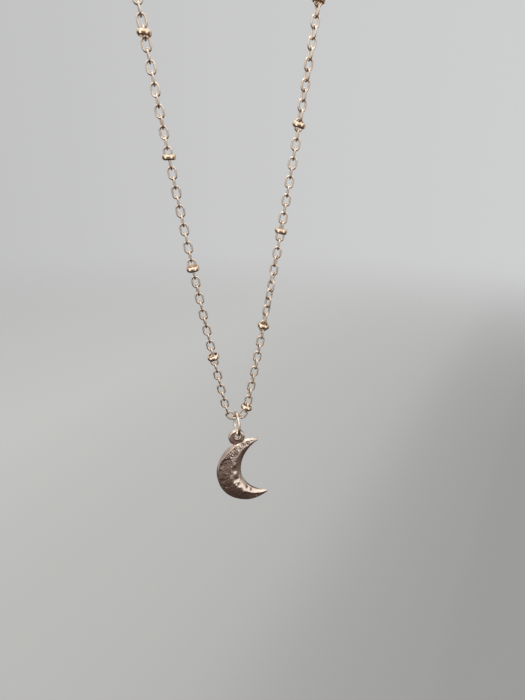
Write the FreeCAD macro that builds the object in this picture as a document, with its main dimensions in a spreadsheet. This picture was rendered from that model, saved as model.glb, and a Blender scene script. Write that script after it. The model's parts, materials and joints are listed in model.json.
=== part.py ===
import FreeCAD, Part
import Sketcher
import math
import os

# Pendant necklace: satellite cable chain, lobster clasp, extension chain and a
# domed, hammered crescent pendant on a jump ring.  Millimetres, +Z up, front is -Y.
# The closed loop hangs in the XZ plane.  The origin is the centre of the round
# form that the nape of the loop rests on.

V = FreeCAD.Vector
doc = FreeCAD.newDocument("pendant_necklace")

# ---------------------------------------------------------------- dimensions
sheet = doc.addObject("Spreadsheet::Sheet", "dims")
DIMS = [
    # fine chain
    ("link_pitch", 1.80), ("link_wire", 0.42), ("link_width", 1.86), ("link_gap", 0.02),
    # spacer bead
    ("bead_od", 2.64), ("bead_bore", 2.02), ("bead_height", 1.02), ("bead_edge", 2.26),
    # hanging curve of a strand
    ("curve_a", 37.0), ("curve_v", 163.0), ("curve_start", 7.4), ("centre_lift", 0.12),
    # jump ring that carries the pendant
    ("jump_mean", 2.61), ("jump_wire", 0.64), ("jump_sweep", 358.8),
    # crescent pendant
    ("moon_outer", 8.30), ("moon_inner", 7.60), ("moon_tip", 0.30),
    ("moon_shift_x", 5.05), ("moon_shift_z", 0.88),
    ("moon_edge", 1.15), ("moon_rise", 0.80), ("moon_back", 0.45),
    ("moon_ridge", 7.85), ("moon_from_hole_x", 3.25), ("moon_from_hole_z", -9.75),
    ("moon_taper", 60.0), ("eye_recess", 0.10),
    ("eye_radius", 1.92), ("eye_hole", 0.66), ("eye_drop", 0.45),
    # closure
    ("clasp_thick", 1.60), ("clasp_hook", 3.00), ("clasp_hole", 1.70), ("clasp_hook_x", 2.00),
    ("clasp_eye_out", 1.35), ("clasp_eye_hole", 0.75), ("clasp_slot", 1.10),
    ("pivot_x", -1.30), ("pivot_z", 1.60), ("pin_radius", 0.35),
    ("tail_ring_mean", 1.50), ("tail_ring_wire", 0.60),
    ("end_ring_mean", 1.99), ("end_ring_wire", 0.70),
    # extension chain
    ("ext_pitch", 2.60), ("ext_wire", 0.50), ("ext_width", 2.80),
    ("drop_ring_mean", 1.25), ("drop_ring_wire", 0.45), ("drop_radius", 2.10),
]
D = {}
for row, (name, value) in enumerate(DIMS, start=1):
    sheet.set("A%d" % row, name.replace("_", " "))
    sheet.set("B%d" % row, repr(value))
    sheet.setAlias("B%d" % row, name)
    D[name] = value
doc.recompute()
for name, value in DIMS:
    D[name] = float(getattr(sheet, name))


def bind(obj, prop, expression):
    obj.setExpression(prop, expression)


# ------------------------------------------------------------ chain geometry
PITCH = D["link_pitch"]
A, V0, S0 = D["curve_a"], D["curve_v"], D["curve_start"]
STRAIGHT = 100          # junctions 0..100 lie on the hanging curve
ARC = 22                # links from there to the clasp, on each side
LAST = STRAIGHT + ARC


def curve(s):
    x = A * (math.asinh((V0 + s) / A) - math.asinh(V0 / A))
    z = math.sqrt(A * A + (V0 + s) ** 2) - math.sqrt(A * A + V0 * V0)
    return x, z


s_end = (STRAIGHT + 0.5) * PITCH + S0
x_end, z_end = curve(s_end)
lean = math.atan2(A, V0 + s_end)
NAPE_R = x_end / math.cos(lean)             # junction circle over the form
Z_VERTEX = -(z_end + NAPE_R * math.sin(lean))

# junctions between links, right-hand side, as (x, z)
J = [None, None]
for k in range(2, STRAIGHT + 1):
    x, z = curve((k + 0.5) * PITCH + S0)
    J.append((x, z + Z_VERTEX))
lift_two = math.radians(15.5)               # lean of link 2 from vertical
half = PITCH / 2.0
lift_one = math.asin((J[2][0] - half) / PITCH - math.sin(lift_two))
J[1] = (J[2][0] - PITCH * math.sin(lift_two), J[2][1] - PITCH * math.cos(lift_two))
J[0] = (J[1][0] - PITCH * math.sin(lift_one), J[1][1] - PITCH * math.cos(lift_one))
step = 2.0 * math.asin(half / NAPE_R)
for i in range(1, ARC + 1):
    ang = -lean + i * step
    J.append((NAPE_R * math.cos(ang), NAPE_R * math.sin(ang)))
Z_LOW = J[0][1] + D["centre_lift"]          # height of the lowest link, which bears on its neighbours' flanks
CLOSURE = J[LAST][0]                        # half length of the closure
Z_TOP = J[LAST][1]


def roll_of(side, n):
    """Turn of a link about its own length: 0 is face-on, 90 is edge-on."""
    odd = n % 2
    r = 0.0 if odd else 90.0
    if side > 0:
        if n > 13:
            r += 7.5 * min(n - 13, 12)      # the strand carries a quarter twist here
        if n <= 13:
            r -= 4.0
        elif 26 <= n <= 34:
            r -= 14.0
        elif n > 34:
            r += min(-14.0 + 6.0 * (n - 34), 10.0)
    else:
        if n >= 88:
            r += 7.5 * min(n - 87, 12)
        if n == 1:
            r -= 8.0
        elif n <= 20:
            r += -18.0 if odd else 0.0
        elif n <= 32 or n in (40, 41):
            r += -15.0 if odd else -2.0
        elif n <= 39:
            r += -26.0 if odd else 2.0      # lies over more here
        elif n <= 46:
            r += -14.0 if odd else 0.0
        else:
            r += -5.0 if odd else -2.0
    wob = 3.0 * math.sin(1.7 * n + (0.6 if side > 0 else 2.1))
    if n in (1, 2) or n >= LAST - 1:
        wob = 0.0
    return r + wob


def frame(origin, axis, width):
    """Placement whose local Z is axis and whose local X is nearest to width."""
    zc = V(axis).normalize()
    xc = (width - zc * width.dot(zc)).normalize()
    yc = zc.cross(xc)
    m = FreeCAD.Matrix(xc.x, yc.x, zc.x, origin.x,
                       xc.y, yc.y, zc.y, origin.y,
                       xc.z, yc.z, zc.z, origin.z, 0, 0, 0, 1)
    return FreeCAD.Placement(m)


def link_place(side, n):
    if n == 0:
        return frame(V(0, 0, Z_LOW), V(1, 0, 0), V(0, 1, 0))
    a, b = J[n - 1], J[n]
    ax = V(side * (b[0] - a[0]), 0, b[1] - a[1])
    ax.normalize()
    mid = V(side * (a[0] + b[0]) / 2.0, 0, (a[1] + b[1]) / 2.0)
    flat = V(ax.z, 0, -ax.x)
    rot = FreeCAD.Rotation(ax, roll_of(side, n))
    return frame(mid, ax, rot.multVec(flat))


def bead_place(side, at, tilt_y, tilt_x):
    """A bead at chain position `at`, leaning tilt_y in the plane of the loop."""
    p = at - 0.5
    k = int(math.floor(p))
    f = p - k
    a, b = J[k], J[k + 1]
    pos = V(side * (a[0] + (b[0] - a[0]) * f), 0, a[1] + (b[1] - a[1]) * f)
    ax = V(side * (b[0] - a[0]), 0, b[1] - a[1])
    ax.normalize()
    lean_y = FreeCAD.Rotation(V(0, 1, 0), tilt_y)
    lean_x = FreeCAD.Rotation(V(ax.z, 0, -ax.x), tilt_x)
    ax2 = lean_x.multVec(lean_y.multVec(ax))
    return frame(pos, ax2, V(ax.z, 0, -ax.x))


# --------------------------------------------------------------- small helpers
def origin_plane(body, role):
    for o in body.Origin.OriginFeatures:
        if o.Role == role:
            return o
    raise RuntimeError(role)


def on_plane(body, name, role, offset=None):
    sk = body.newObject("Sketcher::SketchObject", name)
    sk.AttachmentSupport = [(origin_plane(body, role), "")]
    sk.MapMode = "FlatFace"
    if offset is not None:
        sk.AttachmentOffset = FreeCAD.Placement(V(0, 0, offset), FreeCAD.Rotation())
    return sk


def poly(sk, pts):
    n = len(pts)
    first = sk.GeometryCount
    for i in range(n):
        a, b = pts[i], pts[(i + 1) % n]
        sk.addGeometry(Part.LineSegment(V(a[0], a[1], 0), V(b[0], b[1], 0)), False)
    for i in range(n):
        sk.addConstraint(Sketcher.Constraint("Coincident", first + i, 2, first + (i + 1) % n, 1))


def circle(sk, cx, cy, radius, expr=None):
    g = sk.addGeometry(Part.Circle(V(cx, cy, 0), V(0, 0, 1), radius), False)
    c = sk.addConstraint(Sketcher.Constraint("Radius", g, radius))
    if abs(cx) < 1e-9 and abs(cy) < 1e-9:
        sk.addConstraint(Sketcher.Constraint("Coincident", g, 3, -1, 1))
    else:
        if abs(cx) < 1e-9:
            sk.addConstraint(Sketcher.Constraint("PointOnObject", g, 3, -2))
        else:
            sk.addConstraint(Sketcher.Constraint("DistanceX", -1, 1, g, 3, cx))
        if abs(cy) < 1e-9:
            sk.addConstraint(Sketcher.Constraint("PointOnObject", g, 3, -1))
        else:
            sk.addConstraint(Sketcher.Constraint("DistanceY", -1, 1, g, 3, cy))
    if expr:
        sk.setExpression("Constraints[%d]" % c, expr)
    return g


def arc_by(sk, centre, radius, a0, a1):
    """Arc from angle a0 to a1, counter-clockwise, degrees."""
    return sk.addGeometry(Part.ArcOfCircle(Part.Circle(V(centre[0], centre[1], 0), V(0, 0, 1), radius),
                                           math.radians(a0), math.radians(a1)), False)


NODES = []


def node(obj, label, place=None):
    obj.Label = label
    if place is not None:
        obj.Placement = place
    NODES.append(obj)
    return obj


# ------------------------------------------------------------ one oval link
def oval_link(name, pitch, wire, width):
    """Master oval link: length along local Z, width along local X."""
    body = doc.addObject("PartDesign::Body", name)
    pv, wv, dv = D[pitch], D[wire], D[width]
    rb = (dv - wv) / 2.0
    hl = (pv + D["link_gap"] + wv) / 2.0 - rb     # half length of the straight leg
    path = on_plane(body, name + "_path", "XZ_Plane")
    path.addGeometry(Part.LineSegment(V(rb, -hl, 0), V(rb, hl, 0)), False)
    arc_by(path, (0, hl), rb, 0, 180)
    path.addGeometry(Part.LineSegment(V(-rb, hl, 0), V(-rb, -hl, 0)), False)
    arc_by(path, (0, -hl), rb, 180, 360)
    for g, pa, h, pb in ((0, 2, 1, 1), (1, 2, 2, 1), (2, 2, 3, 1), (3, 2, 0, 1)):
        path.addConstraint(Sketcher.Constraint("Tangent", g, pa, h, pb))
    path.addConstraint(Sketcher.Constraint("PointOnObject", 1, 3, -2))
    path.addConstraint(Sketcher.Constraint("Vertical", 0))
    path.addConstraint(Sketcher.Constraint("Symmetric", 1, 3, 3, 3, -1, 1))
    c = path.addConstraint(Sketcher.Constraint("Radius", 1, rb))
    path.setExpression("Constraints[%d]" % c, "(dims.%s - dims.%s) / 2" % (width, wire))
    c = path.addConstraint(Sketcher.Constraint("DistanceY", 0, 1, 0, 2, 2 * hl))
    path.setExpression("Constraints[%d]" % c,
                       "dims.%s + dims.link_gap + dims.%s - (dims.%s - dims.%s)" % (pitch, wire, width, wire))
    sec = on_plane(body, name + "_section", "XY_Plane")
    g = sec.addGeometry(Part.Circle(V(rb, 0, 0), V(0, 0, 1), wv / 2.0), False)
    sec.addConstraint(Sketcher.Constraint("PointOnObject", g, 3, -1))
    c = sec.addConstraint(Sketcher.Constraint("DistanceX", -1, 1, g, 3, rb))
    sec.setExpression("Constraints[%d]" % c, "(dims.%s - dims.%s) / 2" % (width, wire))
    c = sec.addConstraint(Sketcher.Constraint("Radius", g, wv / 2.0))
    sec.setExpression("Constraints[%d]" % c, "dims.%s / 2" % wire)
    doc.recompute()
    pipe = body.newObject("PartDesign::AdditivePipe", name + "_sweep")
    pipe.Profile = sec
    pipe.Spine = (path, ["Edge1", "Edge2", "Edge3", "Edge4"])
    body.Tip = pipe
    doc.recompute()
    return body


fine = oval_link("fine_link_master", "link_pitch", "link_wire", "link_width")
wide = oval_link("wide_link_master", "ext_pitch", "ext_wire", "ext_width")


def run_of(label, master, places):
    """Many copies of one link on a curve, each with its own turn.

    A straight or polar pattern can't follow the hanging curve and the twist,
    so the run is a plain feature that holds one placed copy per link."""
    shapes = []
    for pl in places:
        c = master.Shape.copy()
        c.Placement = pl
        shapes.append(c)
    f = doc.addObject("Part::Feature", label)
    f.Shape = Part.makeCompound(shapes) if len(shapes) > 1 else shapes[0]
    return node(f, label)


LEVELS = [(1, 6), (7, 17), (18, 28), (29, 40), (41, 52), (53, 63), (64, 75), (76, 86)]
for i, (lo, hi) in enumerate(LEVELS, start=1):
    for side, word in ((-1, "left"), (1, "right")):
        run_of("%s_run_%d" % (word, i), fine, [link_place(side, n) for n in range(lo, hi + 1)])
for side, word in ((-1, "left"), (1, "right")):
    run_of("%s_nape_run" % word, fine, [link_place(side, n) for n in range(87, LAST + 1)])
run_of("centre_link", fine, [link_place(0, 0)])


# ------------------------------------------------------------ spacer beads
def make_bead(label, place):
    body = doc.addObject("PartDesign::Body", label)
    sk = on_plane(body, label + "_profile", "XZ_Plane")
    ri, ro, re, hh = D["bead_bore"] / 2.0, D["bead_od"] / 2.0, D["bead_edge"] / 2.0, D["bead_height"] / 2.0
    # chord re at both ends, crown ro in the middle
    rise = ro - re
    rad = (hh * hh + rise * rise) / (2.0 * rise)
    half_a = math.degrees(math.asin(hh / rad))
    sk.addGeometry(Part.LineSegment(V(ri, hh, 0), V(ri, -hh, 0)), False)
    sk.addGeometry(Part.LineSegment(V(ri, -hh, 0), V(re, -hh, 0)), False)
    arc_by(sk, (ro - rad, 0), rad, -half_a, half_a)
    sk.addGeometry(Part.LineSegment(V(re, hh, 0), V(ri, hh, 0)), False)
    for g, h in ((0, 1), (1, 2), (2, 3), (3, 0)):
        sk.addConstraint(Sketcher.Constraint("Coincident", g, 2, h, 1))
    sk.addConstraint(Sketcher.Constraint("Vertical", 0))
    sk.addConstraint(Sketcher.Constraint("Horizontal", 1))
    sk.addConstraint(Sketcher.Constraint("Horizontal", 3))
    sk.addConstraint(Sketcher.Constraint("PointOnObject", 2, 3, -1))
    c = sk.addConstraint(Sketcher.Constraint("DistanceX", -1, 1, 0, 1, ri))
    sk.setExpression("Constraints[%d]" % c, "dims.bead_bore / 2")
    c = sk.addConstraint(Sketcher.Constraint("DistanceX", -1, 1, 1, 2, re))
    sk.setExpression("Constraints[%d]" % c, "dims.bead_edge / 2")
    c = sk.addConstraint(Sketcher.Constraint("DistanceY", 0, 2, 0, 1, 2 * hh))
    sk.setExpression("Constraints[%d]" % c, "dims.bead_height")
    rev = body.newObject("PartDesign::Revolution", label + "_turn")
    rev.Profile = sk
    rev.ReferenceAxis = (sk, ["V_Axis"])
    rev.Angle = 360.0
    body.Tip = rev
    return node(body, label, place)


# chain position, lean in the loop's plane, lean towards the front
BEADS = {
    -1: [(9.45, -9.0, 6.0), (20.55, 0.0, 5.0), (32.6, 7.0, 4.0), (44.0, 15.0, 0.0), (56.0, 5.0, 0.0),
         (67.0, 0.0, 6.0), (79.0, 0.0, -6.0), (90.0, 0.0, 0.0), (102.0, 0.0, 0.0), (113.0, 0.0, 0.0)],
    1: [(2.0, 6.0, 0.0), (13.0, 4.0, 8.0), (24.5, 4.0, 4.0), (36.0, 4.0, 8.0), (48.0, 4.0, 5.0),
        (59.0, 0.0, 0.0), (71.0, 0.0, 0.0), (82.0, 0.0, 0.0), (94.0, 0.0, 0.0), (105.0, 0.0, 0.0),
        (117.0, 0.0, 0.0)],
}
for side, word in ((-1, "left"), (1, "right")):
    for i, (at, ty, tx) in enumerate(BEADS[side], start=1):
        make_bead("%s_bead_%d" % (word, i), bead_place(side, at, ty, tx))


# ------------------------------------------------------------ round rings
def ring(label, mean, wire, place, sweep="360"):
    t = doc.addObject("Part::Torus", label)
    bind(t, "Radius1", "dims.%s" % mean)
    bind(t, "Radius2", "dims.%s / 2" % wire)
    if sweep != "360":
        bind(t, "Angle3", sweep)
    return node(t, label, place)


# the jump ring hangs on both legs of the lowest link
leg = (D["link_width"] - D["link_wire"]) / 2.0
reach = D["jump_mean"] - D["jump_wire"] / 2.0 - D["link_wire"] / 2.0 - D["link_gap"]
JUMP_Z = Z_LOW - math.sqrt(reach ** 2 - leg ** 2)
ring("pendant_jump_ring", "jump_mean", "jump_wire",
     frame(V(0, 0, JUMP_Z), V(1, 0, 0), V(0, -math.cos(math.radians(25)), math.sin(math.radians(25)))),
     "dims.jump_sweep")
WIRE_Z = JUMP_Z - D["jump_mean"]            # wire centre at the ring's foot

# ------------------------------------------------------------ crescent pendant
front = D["moon_back"] - D["moon_edge"]     # y of the front face at the rim
inner_r = D["jump_mean"] - D["jump_wire"] / 2.0
hole_top = JUMP_Z - math.sqrt(inner_r ** 2 - front ** 2) + 0.02
HOLE = (0.0, hole_top - D["eye_hole"])
MOON = (HOLE[0] + D["moon_from_hole_x"], HOLE[1] + D["moon_from_hole_z"])
CUT = (MOON[0] + D["moon_shift_x"], MOON[1] + D["moon_shift_z"])

ro, ri, rt = D["moon_outer"], D["moon_inner"], D["moon_tip"]


def tip_centre(sign):
    """Centre of the small circle inside the outer arc and outside the inner arc."""
    r1, r2 = ro - rt, ri + rt
    dx, dz = CUT[0] - MOON[0], CUT[1] - MOON[1]
    d = math.hypot(dx, dz)
    a = (d * d + r1 * r1 - r2 * r2) / (2 * d)
    h = math.sqrt(r1 * r1 - a * a)
    ux, uz = dx / d, dz / d
    return (MOON[0] + a * ux - sign * h * uz, MOON[1] + a * uz + sign * h * ux)


def ang(c, p):
    return math.degrees(math.atan2(p[1] - c[1], p[0] - c[0])) % 360.0


up_c, lo_c = tip_centre(1), tip_centre(-1)
outline = doc.addObject("Sketcher::SketchObject", "moon_outline")
# sketch plane: local x = world X, local y = world Z, local z = world -Y
outline.Placement = FreeCAD.Placement(V(0, D["moon_back"], 0), FreeCAD.Rotation(V(1, 0, 0), 90))
oa0, oa1 = ang(MOON, up_c), ang(MOON, lo_c)
ia0, ia1 = ang(CUT, up_c), ang(CUT, lo_c)
arc_by(outline, MOON, ro, oa0, oa1)                       # outer arc, top to foot round the left
arc_by(outline, lo_c, rt, oa1, (ia1 + 180.0) % 360.0 if (ia1 + 180.0) % 360.0 > oa1 else (ia1 + 180.0) % 360.0 + 360.0)
arc_by(outline, CUT, ri, ia0, ia1)                        # inner arc
a_in = (ia0 + 180.0) % 360.0
arc_by(outline, up_c, rt, a_in, oa0 if oa0 > a_in else oa0 + 360.0)
outline.addConstraint(Sketcher.Constraint("Radius", 0, ro))
outline.setExpression("Constraints[0]", "dims.moon_outer")
doc.recompute()

plate = doc.addObject("Part::Extrusion", "moon_plate")
plate.Base = outline
plate.DirMode = "Custom"
plate.Dir = V(0, -1, 0)
plate.LengthFwd = 4.0
plate.Solid = True

# rounded envelope turned about the centre of the band: a flat back, a crowned front
crown = doc.addObject("Sketcher::SketchObject", "moon_crown_profile")
half_w = 2.75
rise = D["moon_rise"]
cap_r = (half_w ** 2 + rise ** 2) / (2 * rise)
rc = D["moon_ridge"]
# profile in the XY plane: local x = radius, y = world Y
yb, yf = D["moon_back"], front
ca = math.degrees(math.asin(half_w / cap_r))
poly_pts = [(rc - 3.6, yb), (rc + 3.6, yb), (rc + 3.6, yf), (rc + half_w, yf)]
crown.addGeometry(Part.LineSegment(V(rc - 3.6, yb, 0), V(rc + 3.6, yb, 0)), False)
crown.addGeometry(Part.LineSegment(V(rc + 3.6, yb, 0), V(rc + 3.6, yf, 0)), False)
crown.addGeometry(Part.LineSegment(V(rc + 3.6, yf, 0), V(rc + half_w, yf, 0)), False)
arc_by(crown, (rc, yf - rise + cap_r), cap_r, 270.0 - ca, 270.0 + ca)
crown.addGeometry(Part.LineSegment(V(rc - half_w, yf, 0), V(rc - 3.6, yf, 0)), False)
crown.addGeometry(Part.LineSegment(V(rc - 3.6, yf, 0), V(rc - 3.6, yb, 0)), False)
c = crown.addConstraint(Sketcher.Constraint("Radius", 3, cap_r))
BAND = ((MOON[0] + CUT[0]) / 2.0, (MOON[1] + CUT[1]) / 2.0)
crown.Placement = FreeCAD.Placement(V(BAND[0], 0, BAND[1]), FreeCAD.Rotation())
turn = doc.addObject("Part::Revolution", "moon_crown")
turn.Source = crown
turn.Axis = V(0, 1, 0)
turn.Base = V(BAND[0], 0, BAND[1])
turn.Angle = 360.0
turn.Solid = True

# wide sphere that thins the horns
thick = (MOON[0] - 5.5, MOON[1] - 0.2)
ball = doc.addObject("Part::Sphere", "moon_taper")
bind(ball, "Radius", "dims.moon_taper")
ball.Placement = FreeCAD.Placement(V(thick[0], yf - rise + D["moon_taper"], thick[1]), FreeCAD.Rotation())
core = doc.addObject("Part::MultiCommon", "moon_core")
core.Shapes = [plate, turn, ball]

# eyelet: a thick lobe with a neck that runs into the rim
lobe_c = (HOLE[0] - 0.18, HOLE[1] - D["eye_drop"])
lobe = doc.addObject("Part::Cylinder", "moon_lobe")
bind(lobe, "Radius", "dims.eye_radius")
bind(lobe, "Height", "dims.moon_edge + 0.12")
lobe.Placement = FreeCAD.Placement(V(lobe_c[0], D["moon_back"], lobe_c[1]), FreeCAD.Rotation(V(1, 0, 0), 90))
neck = doc.addObject("Part::Wedge", "moon_neck")
neck.Xmin, neck.Xmax, neck.X2min, neck.X2max = -1.75, 1.75, -1.75, 1.75
neck.Ymin, neck.Ymax = 0.0, 1.9
neck.Zmin, neck.Zmax, neck.Z2min, neck.Z2max = 0.0, D["moon_edge"], 0.0, D["moon_edge"]
neck.X2min, neck.X2max = -1.45, 1.45
neck.Xmin, neck.Xmax = -2.1, 2.1
neck_dir = V(MOON[0] - lobe_c[0], 0, MOON[1] - lobe_c[1]).normalize()
foot = V(lobe_c[0], 0, lobe_c[1]) + neck_dir * 2.45
side_v = V(0, 1, 0).cross(neck_dir * -1.0)
m = FreeCAD.Matrix(side_v.x, -neck_dir.x, 0, foot.x,
                   side_v.y, -neck_dir.y, -1.0, D["moon_back"],
                   side_v.z, -neck_dir.z, 0, foot.z, 0, 0, 0, 1)
neck.Placement = FreeCAD.Placement(m)
joined = doc.addObject("Part::MultiFuse", "moon_joined")
joined.Shapes = [core, lobe, neck]
joined.Refine = True

# through hole with a countersink on both faces
bore = doc.addObject("Part::Cylinder", "moon_hole")
bind(bore, "Radius", "dims.eye_hole")
bore.Height = 4.0
bore.Placement = FreeCAD.Placement(V(HOLE[0], 2.0, HOLE[1]), FreeCAD.Rotation(V(1, 0, 0), 90))
sink_f = doc.addObject("Part::Cone", "moon_sink_front")
bind(sink_f, "Radius1", "dims.eye_hole + 0.26")
bind(sink_f, "Radius2", "dims.eye_hole - 0.02")
sink_f.Height = 0.28
y_lobe = D["moon_back"] - D["moon_edge"] - 0.12
sink_f.Placement = FreeCAD.Placement(V(HOLE[0], y_lobe, HOLE[1]), FreeCAD.Rotation(V(1, 0, 0), -90))
sink_b = doc.addObject("Part::Cone", "moon_sink_back")
bind(sink_b, "Radius1", "dims.eye_hole + 0.22")
bind(sink_b, "Radius2", "dims.eye_hole - 0.02")
sink_b.Height = 0.24
sink_b.Placement = FreeCAD.Placement(V(HOLE[0], D["moon_back"] - D["eye_recess"], HOLE[1]), FreeCAD.Rotation(V(1, 0, 0), 90))

# hammer marks: shallow spherical dents, polar about the middle of the band
DENTS = [(168, 7.2, 1.6, .10), (186, 6.0, 1.9, .11), (203, 8.6, 1.7, .09), (150, 8.4, 1.6, .09),
         (220, 6.9, 1.8, .10), (238, 8.3, 1.5, .08), (254, 7.2, 1.4, .07), (134, 7.3, 1.5, .08),
         (176, 9.2, 1.3, .08), (196, 7.4, 1.4, .08), (118, 7.9, 1.3, .06)]
dents = []
for i, (a_deg, rad, r_s, depth) in enumerate(DENTS, start=1):
    px = BAND[0] + rad * math.cos(math.radians(a_deg))
    pz = BAND[1] + rad * math.sin(math.radians(a_deg))
    w = min(abs(rad - rc), half_w)
    y_s = yf - rise + (cap_r - math.sqrt(cap_r ** 2 - w ** 2))
    far = math.hypot(px - thick[0], pz - thick[1])
    y_t = yf - rise + D["moon_taper"] - math.sqrt(D["moon_taper"] ** 2 - far ** 2)
    y_s = max(y_s, y_t)
    sp = doc.addObject("Part::Sphere", "dent_%d" % i)
    sp.Radius = r_s * 1.6
    sp.Placement = FreeCAD.Placement(V(px, y_s + depth - r_s * 1.6, pz), FreeCAD.Rotation())
    dents.append(sp)
tools = doc.addObject("Part::MultiFuse", "moon_tools")
recess = doc.addObject("Part::Cylinder", "moon_back_recess")      # the eyelet's back stands clear of the flat back
bind(recess, "Radius", "dims.eye_radius + 0.25")
recess.Height = 2.0
recess.Placement = FreeCAD.Placement(V(lobe_c[0], D["moon_back"] - D["eye_recess"] + 2.0, lobe_c[1]),
                                     FreeCAD.Rotation(V(1, 0, 0), 90))
tools.Shapes = [bore, sink_f, sink_b, recess] + dents
moon = doc.addObject("Part::Cut", "crescent_pendant")
moon.Base = joined
moon.Tool = tools
node(moon, "crescent_pendant")

# ------------------------------------------------------------ closure
# Local clasp coordinates: u along +X from tail to nose, w along +Z.
t_wire, e_wire = D["tail_ring_wire"], D["end_ring_wire"]
hook_right = D["clasp_hook_x"] + D["clasp_hole"]
end_wire_u = hook_right - e_wire / 2.0 - 0.30
end_c_u = end_wire_u + D["end_ring_mean"]
right_u = end_c_u + D["end_ring_mean"] - e_wire / 2.0 - 0.05
left_u = right_u - 2.0 * CLOSURE
tail_c_u = left_u + (D["tail_ring_mean"] - t_wire / 2.0 - 0.04)
eye_u = tail_c_u + D["tail_ring_mean"] - t_wire / 2.0 - 0.38 + D["clasp_eye_hole"]
CLASP_X = CLOSURE - right_u

ring("clasp_jump_ring", "tail_ring_mean", "tail_ring_wire",
     frame(V(CLASP_X + tail_c_u, 0, Z_TOP), V(0, 0, 1), V(0, 1, 0)), "359")
ring("end_ring", "end_ring_mean", "end_ring_wire",
     frame(V(CLASP_X + end_c_u, 0, Z_TOP), V(0, 0, 1), V(1, 0, 0)))

FLAT = FreeCAD.Placement(V(CLASP_X, 0, Z_TOP), FreeCAD.Rotation())


def half_plate(body, name, sk, thick_expr):
    pad = body.newObject("PartDesign::Pad", name)
    pad.Profile = sk
    pad.Midplane = True
    bind(pad, "Length", thick_expr)
    body.Tip = pad
    return pad


hook_r, hole_r, hx = D["clasp_hook"], D["clasp_hole"], D["clasp_hook_x"]
clasp = doc.addObject("PartDesign::Body", "clasp_body")
sk = on_plane(clasp, "clasp_outline", "XZ_Plane")
# outline: eye, tapered shank, cheeks around the pivot, round hook
eo = D["clasp_eye_out"]
t_up = math.degrees(math.acos(-0.15))
p_top = (-2.55, 2.15)
pts_top = [(eye_u + 0.55, math.sqrt(eo ** 2 - 0.55 ** 2)), (-3.2, 1.05), (-2.35, 2.1), (-1.2, 2.42)]
a_hook_top = math.degrees(math.atan2(2.42, -0.2 - hx + 1.0)) % 360
# start the hook arc where it meets the cheek line at w = 2.42
uh = hx - math.sqrt(hook_r ** 2 - 2.42 ** 2)
pts = [(eye_u + 0.55, math.sqrt(eo ** 2 - 0.55 ** 2)), (-3.35, 1.0), (-2.3, 2.2), (-1.3, 2.42), (uh, 2.42)]
lines = list(zip(pts[:-1], pts[1:]))
for (a, b) in lines:
    sk.addGeometry(Part.LineSegment(V(a[0], a[1], 0), V(b[0], b[1], 0)), False)
a0 = math.degrees(math.atan2(2.42, uh - hx)) % 360
lowp = (hx - math.sqrt(hook_r ** 2 - 1.7 ** 2), -1.7)
a1 = math.degrees(math.atan2(lowp[1], lowp[0] - hx)) % 360
# hook arc runs clockwise over the top to the foot
arc_by(sk, (hx, 0), hook_r, a1 - 360.0, a0)
pts2 = [lowp, (-1.2, -1.45), (-3.35, -0.8), (eye_u + 0.55, -math.sqrt(eo ** 2 - 0.55 ** 2))]
for (a, b) in zip(pts2[:-1], pts2[1:]):
    sk.addGeometry(Part.LineSegment(V(a[0], a[1], 0), V(b[0], b[1], 0)), False)
e0 = math.degrees(math.atan2(math.sqrt(eo ** 2 - 0.55 ** 2), 0.55))
arc_by(sk, (eye_u, 0), eo, e0, 360.0 - e0)
circle(sk, hx, 0, hole_r, "dims.clasp_hole")
circle(sk, eye_u, 0, D["clasp_eye_hole"], "dims.clasp_eye_hole")
doc.recompute()
half_plate(clasp, "clasp_plate", sk, "dims.clasp_thick")

# the mouth: the arc between the cheeks and the nose is left to the gate
px_, pz_ = D["pivot_x"], D["pivot_z"]
NOSE_R = 4.42                               # the nose's end follows a circle about the pivot


def swept(radius, w):
    return px_ + math.sqrt(radius ** 2 - (w - pz_) ** 2)


mouth = on_plane(clasp, "clasp_mouth", "XZ_Plane")
poly(mouth, [(0.05, 0.55)] + [(swept(NOSE_R, w), w) for w in (0.55, 1.0, 1.4, 1.8, 2.2, 2.6, 3.0, 3.4)]
     + [(0.05, 3.4)])
mp = clasp.newObject("PartDesign::Pocket", "clasp_mouth_cut")
mp.Profile = mouth
mp.Midplane = True
mp.Length = 4.0
clasp.Tip = mp
# the slot between the cheeks
slot = on_plane(clasp, "clasp_slot_outline", "XZ_Plane")
poly(slot, [(-3.0, -0.62), (0.9, -0.62), (0.9, 3.0), (-3.0, 3.0)])
sp_ = clasp.newObject("PartDesign::Pocket", "clasp_slot_cut")
sp_.Profile = slot
sp_.Midplane = True
bind(sp_, "Length", "dims.clasp_slot")
clasp.Tip = sp_
# rivet hole through the cheeks
rh = on_plane(clasp, "clasp_rivet_hole", "XZ_Plane")
circle(rh, D["pivot_x"], D["pivot_z"], D["pin_radius"] + 0.01)
rp = clasp.newObject("PartDesign::Pocket", "clasp_rivet_cut")
rp.Profile = rh
rp.Midplane = True
rp.Length = 4.0
clasp.Tip = rp
doc.recompute()
node(clasp, "clasp_body", FLAT)

# gate: a curved arm that closes the mouth, with a thumb tab behind the pivot
gate = doc.addObject("PartDesign::Body", "clasp_gate")
gs = on_plane(gate, "gate_outline", "XZ_Plane")
GATE_R = NOSE_R - 0.06


def meet(radius):
    """Height at which the gate's end circle meets a circle about the hook's centre."""
    lo, hi = 0.2, radius - 1e-6
    for _ in range(60):
        w = (lo + hi) / 2.0
        if math.hypot(swept(GATE_R, w) - hx, w) < radius:
            lo = w
        else:
            hi = w
    return lo


z_in, z_out = meet(hole_r), meet(hook_r - 0.05)
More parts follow.
